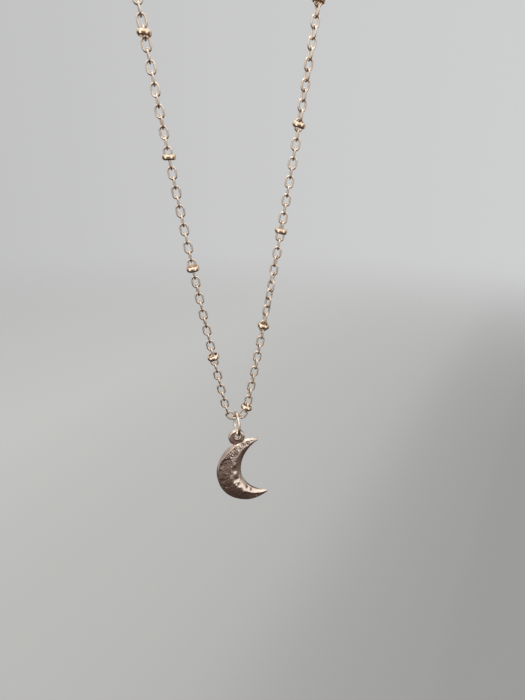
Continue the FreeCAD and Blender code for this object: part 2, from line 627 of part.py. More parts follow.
# inner arc from the end towards the pivot
in_stop = (0.78, math.sqrt(hole_r ** 2 - (0.78 - hx) ** 2))
out_stop = (-0.05, math.sqrt((hook_r - 0.05) ** 2 - (-0.05 - hx) ** 2))
ga0 = math.degrees(math.atan2(z_in, swept(GATE_R, z_in) - hx))
ga1 = math.degrees(math.atan2(in_stop[1], in_stop[0] - hx))
go0 = math.degrees(math.atan2(z_out, swept(GATE_R, z_out) - hx))
go1 = math.degrees(math.atan2(out_stop[1], out_stop[0] - hx))
arc_by(gs, (hx, 0), hole_r, ga0, ga1)
chain_pts = [in_stop, (0.1, 0.95), (-1.3, 0.72), (-2.15, 1.25), (-2.35, 2.0), (-2.75, 3.1), (-2.2, 3.35),
             (-1.35, 2.62), out_stop]
for a, b in zip(chain_pts[:-1], chain_pts[1:]):
    gs.addGeometry(Part.LineSegment(V(a[0], a[1], 0), V(b[0], b[1], 0)), False)
arc_by(gs, (hx, 0), hook_r - 0.05, go0, go1)
end_w = [z_out + (z_in - z_out) * i / 4.0 for i in range(5)]
end_pts = [(swept(GATE_R, w), w) for w in end_w]
for a, b in zip(end_pts[:-1], end_pts[1:]):
    gs.addGeometry(Part.LineSegment(V(a[0], a[1], 0), V(b[0], b[1], 0)), False)
doc.recompute()
half_plate(gate, "gate_plate", gs, "dims.clasp_slot - 0.1")
gh = on_plane(gate, "gate_bore_outline", "XZ_Plane")
circle(gh, px_, pz_, D["pin_radius"] + 0.03)
gp = gate.newObject("PartDesign::Pocket", "gate_bore")
gp.Profile = gh
gp.Midplane = True
gp.Length = 3.0
gate.Tip = gp
# recess beside the boss for the spring coil (on the back half)
gr = on_plane(gate, "gate_recess_outline", "XZ_Plane")
circle(gr, px_, pz_, 0.98)
gq = gate.newObject("PartDesign::Pocket", "gate_recess")
gq.Profile = gr
gq.Type = "Length"
gq.Length = 2.0
gq.Midplane = False
gate.Tip = gq
gr.AttachmentOffset = FreeCAD.Placement(V(0, 0, -0.18), FreeCAD.Rotation())
doc.recompute()
node(gate, "clasp_gate", FLAT)

pin = doc.addObject("Part::Cylinder", "clasp_pin")
bind(pin, "Radius", "dims.pin_radius")
bind(pin, "Height", "dims.clasp_thick + 0.16")
pin.Placement = FreeCAD.Placement(V(CLASP_X + px_, D["clasp_thick"] / 2.0 + 0.08, Z_TOP + pz_),
                                  FreeCAD.Rotation(V(1, 0, 0), 90))
node(pin, "clasp_pin")

# torsion spring: one turn on the pin beside the boss, one leg down to the slot
# floor and a short leg in the gate's recess, swept along one smooth path
sx, sz = CLASP_X + px_, Z_TOP + pz_
pts_s = [V(sx - 0.55, 0.27, sz - 2.10 + 0.15 * i) for i in range(14)]
for i in range(0, 19):
    f = i / 18.0
    a_s = math.pi - f * 2.0 * math.pi
    y_s = 0.27 + 0.19 * (3.0 * f * f - 2.0 * f ** 3)
    pts_s.append(V(sx + 0.55 * math.cos(a_s), y_s, sz + 0.55 * math.sin(a_s)))
pts_s += [V(sx - 0.55, 0.46, sz + 0.1), V(sx - 0.55, 0.46, sz + 0.2)]
bs = Part.BSplineCurve()
bs.interpolate(pts_s)
spine = doc.addObject("Part::Feature", "spring_path")      # a free curve: no primitive for it
spine.Shape = Part.Wire([bs.toShape()])
sect = doc.addObject("Part::Circle", "spring_section")
sect.Radius = 0.07
sect.Placement = FreeCAD.Placement(pts_s[0], FreeCAD.Rotation())
spring = doc.addObject("Part::Sweep", "clasp_spring")
spring.Sections = [sect]
spring.Spine = (spine, ["Edge1"])
spring.Solid = True
spring.Frenet = False
node(spring, "clasp_spring")

# ------------------------------------------------------------ extension chain
# It hangs from the end ring, behind the loop, 45 degrees round the ring.
er = D["end_ring_mean"]
c45 = math.cos(math.radians(45.0))
EXT = V(CLASP_X + end_c_u + er * c45, er * c45, Z_TOP)
radial = V(c45, c45, 0)
tangent = V(-c45, c45, 0)
top_j = Z_TOP + e_wire / 2.0 + 0.01          # contact above the ring wire
EXT_N = 16


def ext_place(i):
    zc = top_j - (i - 0.5) * D["ext_pitch"]
    w = radial if i % 2 else tangent
    return frame(V(EXT.x, EXT.y, zc), V(0, 0, 1), w)


run_of("extension_run_1", wide, [ext_place(i) for i in range(1, 9)])
run_of("extension_run_2", wide, [ext_place(i) for i in range(9, EXT_N + 1)])
Z_EXT_END = top_j - EXT_N * D["ext_pitch"]
dz = D["drop_ring_mean"] - D["drop_ring_wire"] / 2.0 - 0.01
DROP_RING_Z = Z_EXT_END - dz
ring("drop_ring", "drop_ring_mean", "drop_ring_wire",
     frame(V(EXT.x, EXT.y, DROP_RING_Z), tangent, radial))
# teardrop ball with a loop on top; the loop is edge-on to the drop ring
loop_mean, loop_wire = 0.85, 0.40
LOOP_Z = DROP_RING_Z - (D["drop_ring_mean"] - D["drop_ring_wire"] / 2.0 - loop_wire / 2.0 - 0.02) \
    - loop_mean
loop = doc.addObject("Part::Torus", "drop_loop")
loop.Radius1 = loop_mean
loop.Radius2 = loop_wire / 2.0
loop.Placement = frame(V(EXT.x, EXT.y, LOOP_Z), radial, tangent)
bead_z = LOOP_Z - loop_mean - D["drop_radius"] + 0.12
sph = doc.addObject("Part::Sphere", "drop_sphere")
bind(sph, "Radius", "dims.drop_radius")
sph.Placement = FreeCAD.Placement(V(EXT.x, EXT.y, bead_z), FreeCAD.Rotation())
collar = doc.addObject("Part::Cylinder", "drop_collar")
collar.Radius = 0.62
collar.Height = 0.5
collar.Placement = FreeCAD.Placement(V(EXT.x, EXT.y, bead_z + D["drop_radius"] - 0.28), FreeCAD.Rotation())
drop = doc.addObject("Part::MultiFuse", "drop_ball")
drop.Shapes = [sph, collar, loop]
node(drop, "drop_ball")

doc.recompute()

# ------------------------------------------------------------ checks and export
for o in doc.Objects:
    if any(word in o.State for word in ("Invalid", "Error")):
        raise RuntimeError("%s: %s" % (o.Name, o.State))
    if hasattr(o, "Shape") and o.TypeId.startswith(("Part", "PartDesign")) and o.TypeId != "PartDesign::Plane":
        if o.Shape.isNull() or not o.Shape.isValid():
            raise RuntimeError("bad shape: " + o.Name)
vol_plate = doc.getObject("clasp_plate").Shape.Volume
if not clasp.Shape.Volume < vol_plate:
    raise RuntimeError("clasp pockets removed nothing")
if not gate.Shape.Volume < doc.getObject("gate_plate").Shape.Volume:
    raise RuntimeError("gate pockets removed nothing")
if not moon.Shape.Volume < joined.Shape.Volume:
    raise RuntimeError("pendant cuts removed nothing")

os.makedirs("parts", exist_ok=True)
for o in NODES:
    if len(o.Shape.Solids) < 1:
        raise RuntimeError("no solid in " + o.Label)
    o.Shape.exportStep("parts/%s.step" % o.Label)
    bb = o.Shape.BoundBox
    print("%-20s solids %3d vol %9.3f  x %8.2f..%8.2f y %6.2f..%6.2f z %8.2f..%8.2f" % (
        o.Label, len(o.Shape.Solids), o.Shape.Volume, bb.XMin, bb.XMax, bb.YMin, bb.YMax, bb.ZMin, bb.ZMax))
print("nodes", len(NODES), "loop hangs", round(Z_TOP - Z_LOW, 2), "nape radius", round(NAPE_R, 3),
      "closure", round(2 * CLOSURE, 3), "pendant centre of mass", moon.Shape.Solids[0].CenterOfMass)
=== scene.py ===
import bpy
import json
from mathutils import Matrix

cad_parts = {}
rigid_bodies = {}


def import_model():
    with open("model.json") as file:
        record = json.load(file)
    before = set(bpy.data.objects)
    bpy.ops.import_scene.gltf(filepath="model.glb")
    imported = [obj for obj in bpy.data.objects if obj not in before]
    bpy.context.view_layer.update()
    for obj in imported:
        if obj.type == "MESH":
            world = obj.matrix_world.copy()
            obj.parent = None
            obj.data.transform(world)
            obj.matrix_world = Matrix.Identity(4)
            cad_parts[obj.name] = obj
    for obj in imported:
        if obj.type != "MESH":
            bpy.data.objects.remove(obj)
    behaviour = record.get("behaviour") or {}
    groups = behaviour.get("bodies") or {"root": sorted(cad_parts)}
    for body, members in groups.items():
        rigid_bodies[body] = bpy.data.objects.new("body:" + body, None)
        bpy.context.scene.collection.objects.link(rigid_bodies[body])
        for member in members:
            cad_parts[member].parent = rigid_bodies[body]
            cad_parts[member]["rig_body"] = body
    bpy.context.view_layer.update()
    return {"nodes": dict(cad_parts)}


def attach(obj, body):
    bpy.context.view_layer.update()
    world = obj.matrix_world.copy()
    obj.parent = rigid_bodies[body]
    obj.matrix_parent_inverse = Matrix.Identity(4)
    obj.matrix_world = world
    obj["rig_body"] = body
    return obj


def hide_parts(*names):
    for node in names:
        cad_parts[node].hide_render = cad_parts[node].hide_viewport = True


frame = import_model()
import bpy
import bmesh
import json
import math
import numpy as np
from mathutils import Matrix, Quaternion, Vector

# Pendant necklace.  Everything is in the row frame, in metres: +Z up, front is -Y.
MM = 0.001
NODES = frame["nodes"]
rng = np.random.default_rng(20414)
scene = bpy.context.scene

# ------------------------------------------------------------------ the chain's own geometry (millimetres)
PITCH, WIRE, WIDTH, GAP = 1.80, 0.42, 1.86, 0.02
A, V0, S0 = 37.0, 163.0, 7.4
STRAIGHT, ARC = 100, 22
LAST = STRAIGHT + ARC


def curve(s):
    x = A * (math.asinh((V0 + s) / A) - math.asinh(V0 / A))
    z = math.sqrt(A * A + (V0 + s) ** 2) - math.sqrt(A * A + V0 * V0)
    return x, z


s_end = (STRAIGHT + 0.5) * PITCH + S0
x_end, z_end = curve(s_end)
lean = math.atan2(A, V0 + s_end)
NAPE_R = x_end / math.cos(lean)
Z_VERTEX = -(z_end + NAPE_R * math.sin(lean))
J = [None, None]
for k in range(2, STRAIGHT + 1):
    x, z = curve((k + 0.5) * PITCH + S0)
    J.append((x, z + Z_VERTEX))
half = PITCH / 2.0
lift_two = math.radians(15.5)
lift_one = math.asin((J[2][0] - half) / PITCH - math.sin(lift_two))
J[1] = (J[2][0] - PITCH * math.sin(lift_two), J[2][1] - PITCH * math.cos(lift_two))
J[0] = (J[1][0] - PITCH * math.sin(lift_one), J[1][1] - PITCH * math.cos(lift_one))
step = 2.0 * math.asin(half / NAPE_R)
for i in range(1, ARC + 1):
    a_ = -lean + i * step
    J.append((NAPE_R * math.cos(a_), NAPE_R * math.sin(a_)))
Z_LOW = J[0][1] + 0.12
CLOSURE, Z_TOP = J[LAST]


def roll_of(side, n):
    odd = n % 2
    r = 0.0 if odd else 90.0
    if side > 0:
        if n > 13:
            r += 7.5 * min(n - 13, 12)
        if n <= 13:
            r -= 4.0
        elif 26 <= n <= 34:
            r -= 14.0
        elif n > 34:
            r += min(-14.0 + 6.0 * (n - 34), 10.0)
    else:
        if n >= 88:
            r += 7.5 * min(n - 87, 12)
        if n == 1:
            r -= 8.0
        elif n <= 20:
            r += -18.0 if odd else 0.0
        elif n <= 32 or n in (40, 41):
            r += -15.0 if odd else -2.0
        elif n <= 39:
            r += -26.0 if odd else 2.0
        elif n <= 46:
            r += -14.0 if odd else 0.0
        else:
            r += -5.0 if odd else -2.0
    wob = 3.0 * math.sin(1.7 * n + (0.6 if side > 0 else 2.1))
    if n in (1, 2) or n >= LAST - 1:
        wob = 0.0
    return r + wob


def basis(axis, width):
    z = np.array(axis, float); z /= np.linalg.norm(z)
    x = np.array(width, float); x = x - z * x.dot(z); x /= np.linalg.norm(x)
    return np.stack([x, np.cross(z, x), z], 1)


def about(axis, deg):
    return np.array(Matrix.Rotation(math.radians(deg), 3, Vector(axis)))


def link_frame(side, n, extra=0.0):
    if n == 0:
        return basis((1, 0, 0), (0, 1, 0)), np.array([0, 0, Z_LOW])
    a, b = J[n - 1], J[n]
    ax = np.array([side * (b[0] - a[0]), 0, b[1] - a[1]]); ax /= np.linalg.norm(ax)
    mid = np.array([side * (a[0] + b[0]) / 2.0, 0, (a[1] + b[1]) / 2.0])
    flat = np.array([ax[2], 0, -ax[0]])
    return basis(ax, about(ax, roll_of(side, n) + extra) @ flat), mid


def bead_frame(side, at, tilt_y, tilt_x):
    p = at - 0.5
    k = int(math.floor(p)); f = p - k
    a, b = J[k], J[k + 1]
    pos = np.array([side * (a[0] + (b[0] - a[0]) * f), 0, a[1] + (b[1] - a[1]) * f])
    ax = np.array([side * (b[0] - a[0]), 0, b[1] - a[1]]); ax /= np.linalg.norm(ax)
    flat = np.array([ax[2], 0, -ax[0]])
    return basis(about(flat, tilt_x) @ (about((0, 1, 0), tilt_y) @ ax), flat), pos


# ------------------------------------------------------------------ mesh helpers
def make_object(name, verts, faces, mat, smooth=True, tint=None):
    """verts in millimetres."""
    me = bpy.data.meshes.new(name)
    v = np.asarray(verts, float) * MM
    f = np.asarray(faces, int)
    me.vertices.add(len(v)); me.vertices.foreach_set("co", v.ravel())
    n = f.shape[1]
    me.loops.add(f.size); me.loops.foreach_set("vertex_index", f.ravel())
    me.polygons.add(len(f))
    me.polygons.foreach_set("loop_start", np.arange(0, f.size, n))
    me.polygons.foreach_set("loop_total", np.full(len(f), n))
    me.update(calc_edges=True)
    me.validate()
    me.polygons.foreach_set("use_smooth", np.full(len(me.polygons), smooth))
    if tint is not None:
        at = me.attributes.new("tint", "FLOAT", "POINT")
        at.data.foreach_set("value", np.asarray(tint, np.float32))
    me.materials.append(mat)
    ob = bpy.data.objects.new(name, me)
    scene.collection.objects.link(ob)
    return ob


def swap(ob, node):
    """ob takes the place of a CAD node and rides where it rode."""
    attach(ob, NODES[node]["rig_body"])
    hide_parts(node)
    return ob


def grid_faces(nu, nv, close_u=True, close_v=True):
    iu = np.arange(nu if close_u else nu - 1)
    iv = np.arange(nv if close_v else nv - 1)
    a, b = np.meshgrid(iu, iv, indexing="ij")
    a, b = a.ravel(), b.ravel()
    a2, b2 = (a + 1) % nu, (b + 1) % nv
    return np.stack([a * nv + b, a2 * nv + b, a2 * nv + b2, a * nv + b2], 1)


def tube(path, n1, n2, radii, sides):
    """Closed tube: path points, two unit normals per point, radius per point."""
    ph = np.linspace(0, 2 * math.pi, sides, endpoint=False)
    p = path[:, None, :] + radii[:, None, None] * (
        np.cos(ph)[None, :, None] * n1[:, None, :] + np.sin(ph)[None, :, None] * n2[:, None, :])
    return p.reshape(-1, 3)


def stadium(pitch, wire, width, n_arc, n_leg):
    """Path of an oval link in its local XZ plane, and its outward normals."""
    rb = (width - wire) / 2.0
    hl = (pitch + GAP + wire) / 2.0 - rb
    pts, nor = [], []
    for i in range(n_leg):
        z = -hl + 2 * hl * i / n_leg
        pts.append((rb, 0, z)); nor.append((1, 0, 0))
    for i in range(n_arc):
        a = math.pi * i / n_arc
        pts.append((rb * math.cos(a), 0, hl + rb * math.sin(a))); nor.append((math.cos(a), 0, math.sin(a)))
    for i in range(n_leg):
        z = hl - 2 * hl * i / n_leg
        pts.append((-rb, 0, z)); nor.append((-1, 0, 0))
    for i in range(n_arc):
        a = math.pi + math.pi * i / n_arc
        pts.append((rb * math.cos(a), 0, -hl + rb * math.sin(a))); nor.append((math.cos(a), 0, math.sin(a)))
    return np.array(pts, float), np.array(nor, float)


def link_points(path, nor, wire, sides, seam_at, seam, wear):
    """One link's tube.  The closing seam is a slight swelling with a hairline groove."""
    d = np.linalg.norm(path - path[seam_at], axis=1)
    r = wire / 2.0 * (1.0 + seam * np.exp(-(d / 0.17) ** 2) - 1.2 * seam * np.exp(-(d / 0.05) ** 2))
    r = r * (1.0 + wear)
    y = np.zeros_like(nor); y[:, 1] = 1.0
    return tube(path, nor, y, r, sides)


def seam_path(pitch, wire, width, n_arc, n_leg):
    """As stadium, with close points round the seam in the middle of the second leg."""
    p, n = stadium(pitch, wire, width, n_arc, n_leg)
    first = n_leg + n_arc
    rb = (width - wire) / 2.0
    hl = (pitch + GAP + wire) / 2.0 - rb
    zs = [hl, 0.75 * hl, 0.5 * hl, 0.12, 0.06, 0.0, -0.06, -0.12, -0.5 * hl, -0.75 * hl]
    zs = sorted(set(zs), reverse=True)
    mid = np.array([(-rb, 0, z) for z in zs], float)
    mid_n = np.tile(np.array([[-1.0, 0, 0]]), (len(zs), 1))
    path = np.concatenate([p[:first], mid, p[first + n_leg:]])
    nor = np.concatenate([n[:first], mid_n, n[first + n_leg:]])
    return path, nor, first + zs.index(0.0)


def link_run(name, frames, dims, sides, mat):
    pitch, wire, width, n_arc, n_leg = dims
    path, nor, seam_at = seam_path(pitch, wire, width, n_arc, n_leg)
    faces1 = grid_faces(len(path), sides)
    vs, fs, ts, base = [], [], [], 0
    for (R, t) in frames:
        v = link_points(path, nor, wire, sides, seam_at, 0.035 + 0.03 * rng.random(), -0.006 * rng.random())
        if rng.random() < 0.5:
            v = v * np.array([-1.0, -1.0, 1.0])
        vs.append(v @ R.T + t)
        fs.append(faces1 + base)
        ts.append(np.full(len(v), rng.random()))
        base += len(v)
    return make_object(name, np.concatenate(vs), np.concatenate(fs), mat, tint=np.concatenate(ts))


# ------------------------------------------------------------------ materials
def metal(name, base, deep, rough, scratch=0.35, grain=900.0, bump=0.02, patina=0.25, darkest_tint=0.90):
    """Plated metal: slow colour drift, dull film in places, fine scratches, and a darker base colour from the 'tint'
    attribute (random tone per part; painted shade in the crescent's hollows).
    """
    m = bpy.data.materials.new(name)
    m.use_nodes = True
    nt = m.node_tree
    nt.nodes.clear()
    N, L = nt.nodes.new, nt.links.new
    out = N("ShaderNodeOutputMaterial")
    bs = N("ShaderNodeBsdfPrincipled")
    L(bs.outputs["BSDF"], out.inputs["Surface"])
    bs.inputs["Metallic"].default_value = 1.0
    tc = N("ShaderNodeTexCoord")
    drift = N("ShaderNodeTexNoise")
    drift.inputs["Scale"].default_value = grain * 0.25
    drift.inputs["Detail"].default_value = 4.0
    L(tc.outputs["Object"], drift.inputs["Vector"])
    ramp = N("ShaderNodeValToRGB")
    ramp.color_ramp.elements[0].position = 0.34
    ramp.color_ramp.elements[0].color = (*deep, 1)
    ramp.color_ramp.elements[1].position = 0.62
    ramp.color_ramp.elements[1].color = (*base, 1)
    L(drift.outputs["Fac"], ramp.inputs["Fac"])
    # the 'tint' attribute scales the base colour: a random tone per part, and painted shade in the crescent's hollows
    at = N("ShaderNodeAttribute")
    at.attribute_name = "tint"
    mul = N("ShaderNodeMapRange")
    mul.inputs["To Min"].default_value = darkest_tint
    mul.inputs["To Max"].default_value = 1.03
    L(at.outputs["Fac"], mul.inputs["Value"])
    mix = N("ShaderNodeMix")
    mix.data_type = "RGBA"
    mix.blend_type = "MULTIPLY"
    mix.inputs["Factor"].default_value = 1.0
    L(ramp.outputs["Color"], mix.inputs["A"])
    L(mul.outputs["Result"], mix.inputs["B"])
    L(mix.outputs["Result"], bs.inputs["Base Color"])
    # roughness: polished with a thin handled film and fine rub marks
    film = N("ShaderNodeTexNoise")
    film.inputs["Scale"].default_value = grain
    film.inputs["Detail"].default_value = 6.0
    film.inputs["Roughness"].default_value = 0.6
    L(tc.outputs["Object"], film.inputs["Vector"])
    rr = N("ShaderNodeMapRange")
    rr.inputs["From Min"].default_value = 0.35
    rr.inputs["From Max"].default_value = 0.7
    rr.inputs["To Min"].default_value = rough
    rr.inputs["To Max"].default_value = rough + patina * 0.5
    L(film.outputs["Fac"], rr.inputs["Value"])
    L(rr.outputs["Result"], bs.inputs["Roughness"])
    # scratches: stretched noise, as a small bump
    mp = N("ShaderNodeMapping")
    mp.inputs["Scale"].default_value = (1.0, 1.0, 0.12)
    mp.inputs["Rotation"].default_value = (0.4, 0.9, 0.2)
    L(tc.outputs["Object"], mp.inputs["Vector"])
    sc = N("ShaderNodeTexNoise")
    sc.inputs["Scale"].default_value = grain * 9.0
    sc.inputs["Detail"].default_value = 3.0
    L(mp.outputs["Vector"], sc.inputs["Vector"])
    add = N("ShaderNodeMath")
    add.operation = "MULTIPLY_ADD"
    add.inputs[1].default_value = scratch
    L(sc.outputs["Fac"], add.inputs[0])
    L(film.outputs["Fac"], add.inputs[2])
    bp = N("ShaderNodeBump")
    bp.inputs["Strength"].default_value = bump
    bp.inputs["Distance"].default_value = 0.00004
    L(add.outputs["Value"], bp.inputs["Height"])
    L(bp.outputs["Normal"], bs.inputs["Normal"])
    return m


CHAIN = metal("chain_metal", (0.84, 0.75, 0.67), (0.72, 0.61, 0.52), 0.10, bump=0.0, patina=0.12)
BEAD = metal("bead_metal", (0.92, 0.78, 0.63), (0.82, 0.65, 0.49), 0.09, patina=0.14)
# painted shade: through its 'tint' attribute the crescent's hollows are darkened to as little as half the base colour
MOON = metal("pendant_metal", (0.88, 0.77, 0.67), (0.74, 0.61, 0.55), 0.12, grain=600.0, bump=0.05, patina=0.24, darkest_tint=0.50)
CLASP = metal("clasp_metal", (0.90, 0.75, 0.62), (0.80, 0.63, 0.50), 0.19, grain=500.0, bump=0.03)
STEEL = metal("spring_steel", (0.62, 0.62, 0.63), (0.50, 0.50, 0.51), 0.28)

# ------------------------------------------------------------------ link runs
FINE = (PITCH, WIRE, WIDTH, 15, 4)
LEVELS = [(1, 6), (7, 17), (18, 28), (29, 40), (41, 52), (53, 63), (64, 75), (76, 86)]
for i, (lo, hi) in enumerate(LEVELS, start=1):
    for side, word in ((-1, "left"), (1, "right")):
        ob = link_run("%s_links_%d" % (word, i), [link_frame(side, n) for n in range(lo, hi + 1)], FINE, 14, CHAIN)
        swap(ob, "%s_run_%d" % (word, i))
for side, word in ((-1, "left"), (1, "right")):
    ob = link_run("%s_nape_links" % word, [link_frame(side, n) for n in range(87, LAST + 1)], FINE, 14, CHAIN)
    swap(ob, "%s_nape_run" % word)
swap(link_run("centre_link_fine", [link_frame(0, 0)], FINE, 18, CHAIN), "centre_link")


# ------------------------------------------------------------------ spacer beads
def bead_profile():
    ri, ro, re, hh, bv = 1.01, 1.32, 1.13, 0.51, 0.05
    pts = []

    def corner(cx, cz, a0, a1, r, n=5):
        for i in range(n + 1):
            a = math.radians(a0 + (a1 - a0) * i / n)
            pts.append((cx + r * math.cos(a), cz + r * math.sin(a)))
    # inner wall going down, foot, crown going up, head
    corner(ri + bv, -hh + bv, 180, 270, bv)
    rise = ro - re
    rad = (hh * hh + rise * rise) / (2 * rise)
    for i in range(13):
        z = -hh + 0.10 + (2 * hh - 0.20) * i / 12
        pts.append((ro - rad + math.sqrt(rad * rad - z * z), z))
        if i == 0:
            pts.insert(-1, (re - 0.06, -hh + 0.006))
            pts.insert(-1, (re - 0.012, -hh + 0.035))
    pts.append((re - 0.012, hh - 0.035))
    pts.append((re - 0.06, hh - 0.006))
    corner(ri + bv, hh - bv, 90, 180, bv)
    return np.array(pts)


PROFILE = bead_profile()


def bead_mesh(seed, around=72):
    r = np.random.default_rng(seed)
    k = len(PROFILE)
    th = np.linspace(0, 2 * math.pi, around, endpoint=False)
    rad = PROFILE[:, 0][None, :].repeat(around, 0)
    z = PROFILE[:, 1][None, :].repeat(around, 0)
    # tumbled metal: very slight flats on the crown, and a faint crimp
    wob = sum(0.0022 * math.cos(ph) * np.cos(m_ * th + ph) for m_, ph in ((5, r.random() * 6), (7, r.random() * 6),
                                                                         (11, r.random() * 6)))
    outer = np.clip((rad - 1.10) / 0.12, 0, 1)
    rad = rad + outer * (wob[:, None] - 0.0045)
    v = np.stack([rad * np.cos(th)[:, None], rad * np.sin(th)[:, None], z], 2).reshape(-1, 3)
    f = grid_faces(around, k)
    vs, fs, base = [v], [f], len(v)
    # two small solder pads where the link's legs meet the bore
    for sgn in (-1, 1):
        nu, nv = 12, 8
        u = np.linspace(0, 2 * math.pi, nu, endpoint=False)
        w = np.linspace(0.12, math.pi - 0.12, nv)
        ww, uu = np.meshgrid(w, u)
        p = np.stack([sgn * 0.965 + 0.08 * np.cos(ww), 0.13 * np.sin(ww) * np.cos(uu),
                      0.15 + 0.17 * np.sin(ww) * np.sin(uu)], 2).reshape(-1, 3)
        vs.append(p); fs.append(grid_faces(nu, nv, True, False) + base); base += len(p)
    return np.concatenate(vs), np.concatenate(fs)


BEADS = {
    -1: [(9.45, -9.0, 6.0), (20.55, 0.0, 5.0), (32.6, 7.0, 4.0), (44.0, 15.0, 0.0), (56.0, 5.0, 0.0),
         (67.0, 0.0, 6.0), (79.0, 0.0, -6.0), (90.0, 0.0, 0.0), (102.0, 0.0, 0.0), (113.0, 0.0, 0.0)],
    1: [(2.0, 6.0, 0.0), (13.0, 4.0, 8.0), (24.5, 4.0, 4.0), (36.0, 4.0, 8.0), (48.0, 4.0, 5.0),
        (59.0, 0.0, 0.0), (71.0, 0.0, 0.0), (82.0, 0.0, 0.0), (94.0, 0.0, 0.0), (105.0, 0.0, 0.0),
        (117.0, 0.0, 0.0)],
}
for side, word in ((-1, "left"), (1, "right")):
    for i, b in enumerate(BEADS[side], start=1):
        R, t = bead_frame(side, *b)
        # turn the bead so that its pads meet the legs of the link it sits on
        near = int(round(b[0]))
        Rl, _ = link_frame(side, near)
        loc = R.T @ Rl[:, 0]
        spin = math.degrees(math.atan2(loc[1], loc[0]))
        v, f = bead_mesh(1000 * (side + 2) + i)
        v = v @ about((0, 0, 1), spin).T
        ob = make_object("%s_spacer_%d" % (word, i), v @ R.T + t, f, BEAD, tint=np.full(len(v), 0.35 + 0.5 * rng.random()))
        swap(ob, "%s_bead_%d" % (word, i))


# ------------------------------------------------------------------ round rings with a cut seam
def ring_mesh(mean, wire, sweep_gap, around, sides, seam_deg):
    """Torus in the local XY plane, closed by two flat cut faces that nearly touch."""
    a0 = math.radians(seam_deg) + sweep_gap / 2.0
    a1 = math.radians(seam_deg) + 2 * math.pi - sweep_gap / 2.0
    th = np.linspace(a0, a1, around)
    r = np.full(around, wire / 2.0)
    edge = 0.05 / mean
    near = np.minimum(th - a0, a1 - th)
    r = r * (1.0 - 0.16 * np.exp(-(near / edge) ** 2))
    path = np.stack([mean * np.cos(th), mean * np.sin(th), np.zeros(around)], 1)
    n1 = np.stack([np.cos(th), np.sin(th), np.zeros(around)], 1)
    n2 = np.tile(np.array([[0, 0, 1.0]]), (around, 1))
    v = tube(path, n1, n2, r, sides)
    f = grid_faces(around, sides, False, True)
    # caps: quads fanned through a centre point are avoided; shrink to a point ring
    caps_v, caps_f = [], []
    base = len(v)
    for end in (0, around - 1):
        ringv = v[end * sides:(end + 1) * sides]
        c = ringv.mean(0)
        inner = c + (ringv - c) * 0.5
        core = c + (ringv - c) * 0.02
        caps_v += [inner, core]
        i0 = end * sides
        idx = np.arange(sides); nx = (idx + 1) % sides
        q1 = np.stack([i0 + idx, i0 + nx, base + nx, base + idx], 1)
        q2 = np.stack([base + idx, base + nx, base + sides + nx, base + sides + idx], 1)
        if end == 0:
            q1, q2 = q1[:, ::-1], q2[:, ::-1]
        caps_f += [q1, q2]
        base += 2 * sides
    return np.concatenate([v] + caps_v), np.concatenate([f] + caps_f)


leg = (WIDTH - WIRE) / 2.0
J_MEAN, J_WIRE = 2.61, 0.64
reach = J_MEAN - J_WIRE / 2.0 - WIRE / 2.0 - GAP
JUMP_Z = Z_LOW - math.sqrt(reach ** 2 - leg ** 2)
WIRE_Z = JUMP_Z - J_MEAN
v, f = ring_mesh(J_MEAN, J_WIRE - 0.01, 0.012, 120, 28, 118.0)
R = basis((1, 0, 0), (0, -1, 0))
ob = make_object("jump_ring_fine", v @ R.T + np.array([0, 0, JUMP_Z]), f, CHAIN, tint=np.full(len(v), 0.5))
swap(ob, "pendant_jump_ring")

# closure positions, as in the CAD
T_MEAN, T_WIRE, E_MEAN, E_WIRE = 1.50, 0.60, 1.99, 0.70
end_wire_u = 2.0 + 1.70 - E_WIRE / 2.0 - 0.30
end_c_u = end_wire_u + E_MEAN
right_u = end_c_u + E_MEAN - E_WIRE / 2.0 - 0.05
left_u = right_u - 2.0 * CLOSURE
tail_c_u = left_u + (T_MEAN - T_WIRE / 2.0 - 0.04)
CLASP_X = CLOSURE - right_u
flat_R = basis((0, 0, 1), (0, 1, 0))
v, f = ring_mesh(T_MEAN, T_WIRE - 0.01, 0.016, 96, 24, 60.0)
ob = make_object("clasp_ring_fine", v @ flat_R.T + np.array([CLASP_X + tail_c_u, 0, Z_TOP]), f, CHAIN,
                 tint=np.full(len(v), 0.4))
swap(ob, "clasp_jump_ring")


def plain_torus(mean, wire, around, sides):
    th = np.linspace(0, 2 * math.pi, around, endpoint=False)
    path = np.stack([mean * np.cos(th), mean * np.sin(th), np.zeros(around)], 1)
    n1 = np.stack([np.cos(th), np.sin(th), np.zeros(around)], 1)
    n2 = np.tile(np.array([[0, 0, 1.0]]), (around, 1))
    # soldered seam: a slight swelling
    r = wire / 2.0 * (0.985 + 0.015 * np.exp(-((th - 2.2) * mean / 0.25) ** 2))
    return tube(path, n1, n2, r, sides), grid_faces(around, sides)


v, f = plain_torus(E_MEAN, E_WIRE, 112, 26)
ob = make_object("end_ring_fine", v @ flat_R.T + np.array([CLASP_X + end_c_u, 0, Z_TOP]), f, CHAIN,
                 tint=np.full(len(v), 0.55))
swap(ob, "end_ring")

# ------------------------------------------------------------------ extension chain and drop
X_PITCH, X_WIRE, X_WIDTH, X_N = 2.60, 0.50, 2.80, 16
c45 = math.cos(math.radians(45.0))
EXT = np.array([CLASP_X + end_c_u + E_MEAN * c45, E_MEAN * c45, Z_TOP])
radial, tangent = np.array([c45, c45, 0]), np.array([-c45, c45, 0])
top_j = Z_TOP + E_WIRE / 2.0 + 0.01


def ext_frame(i):
    return basis((0, 0, 1), radial if i % 2 else tangent), np.array([EXT[0], EXT[1], top_j - (i - 0.5) * X_PITCH])


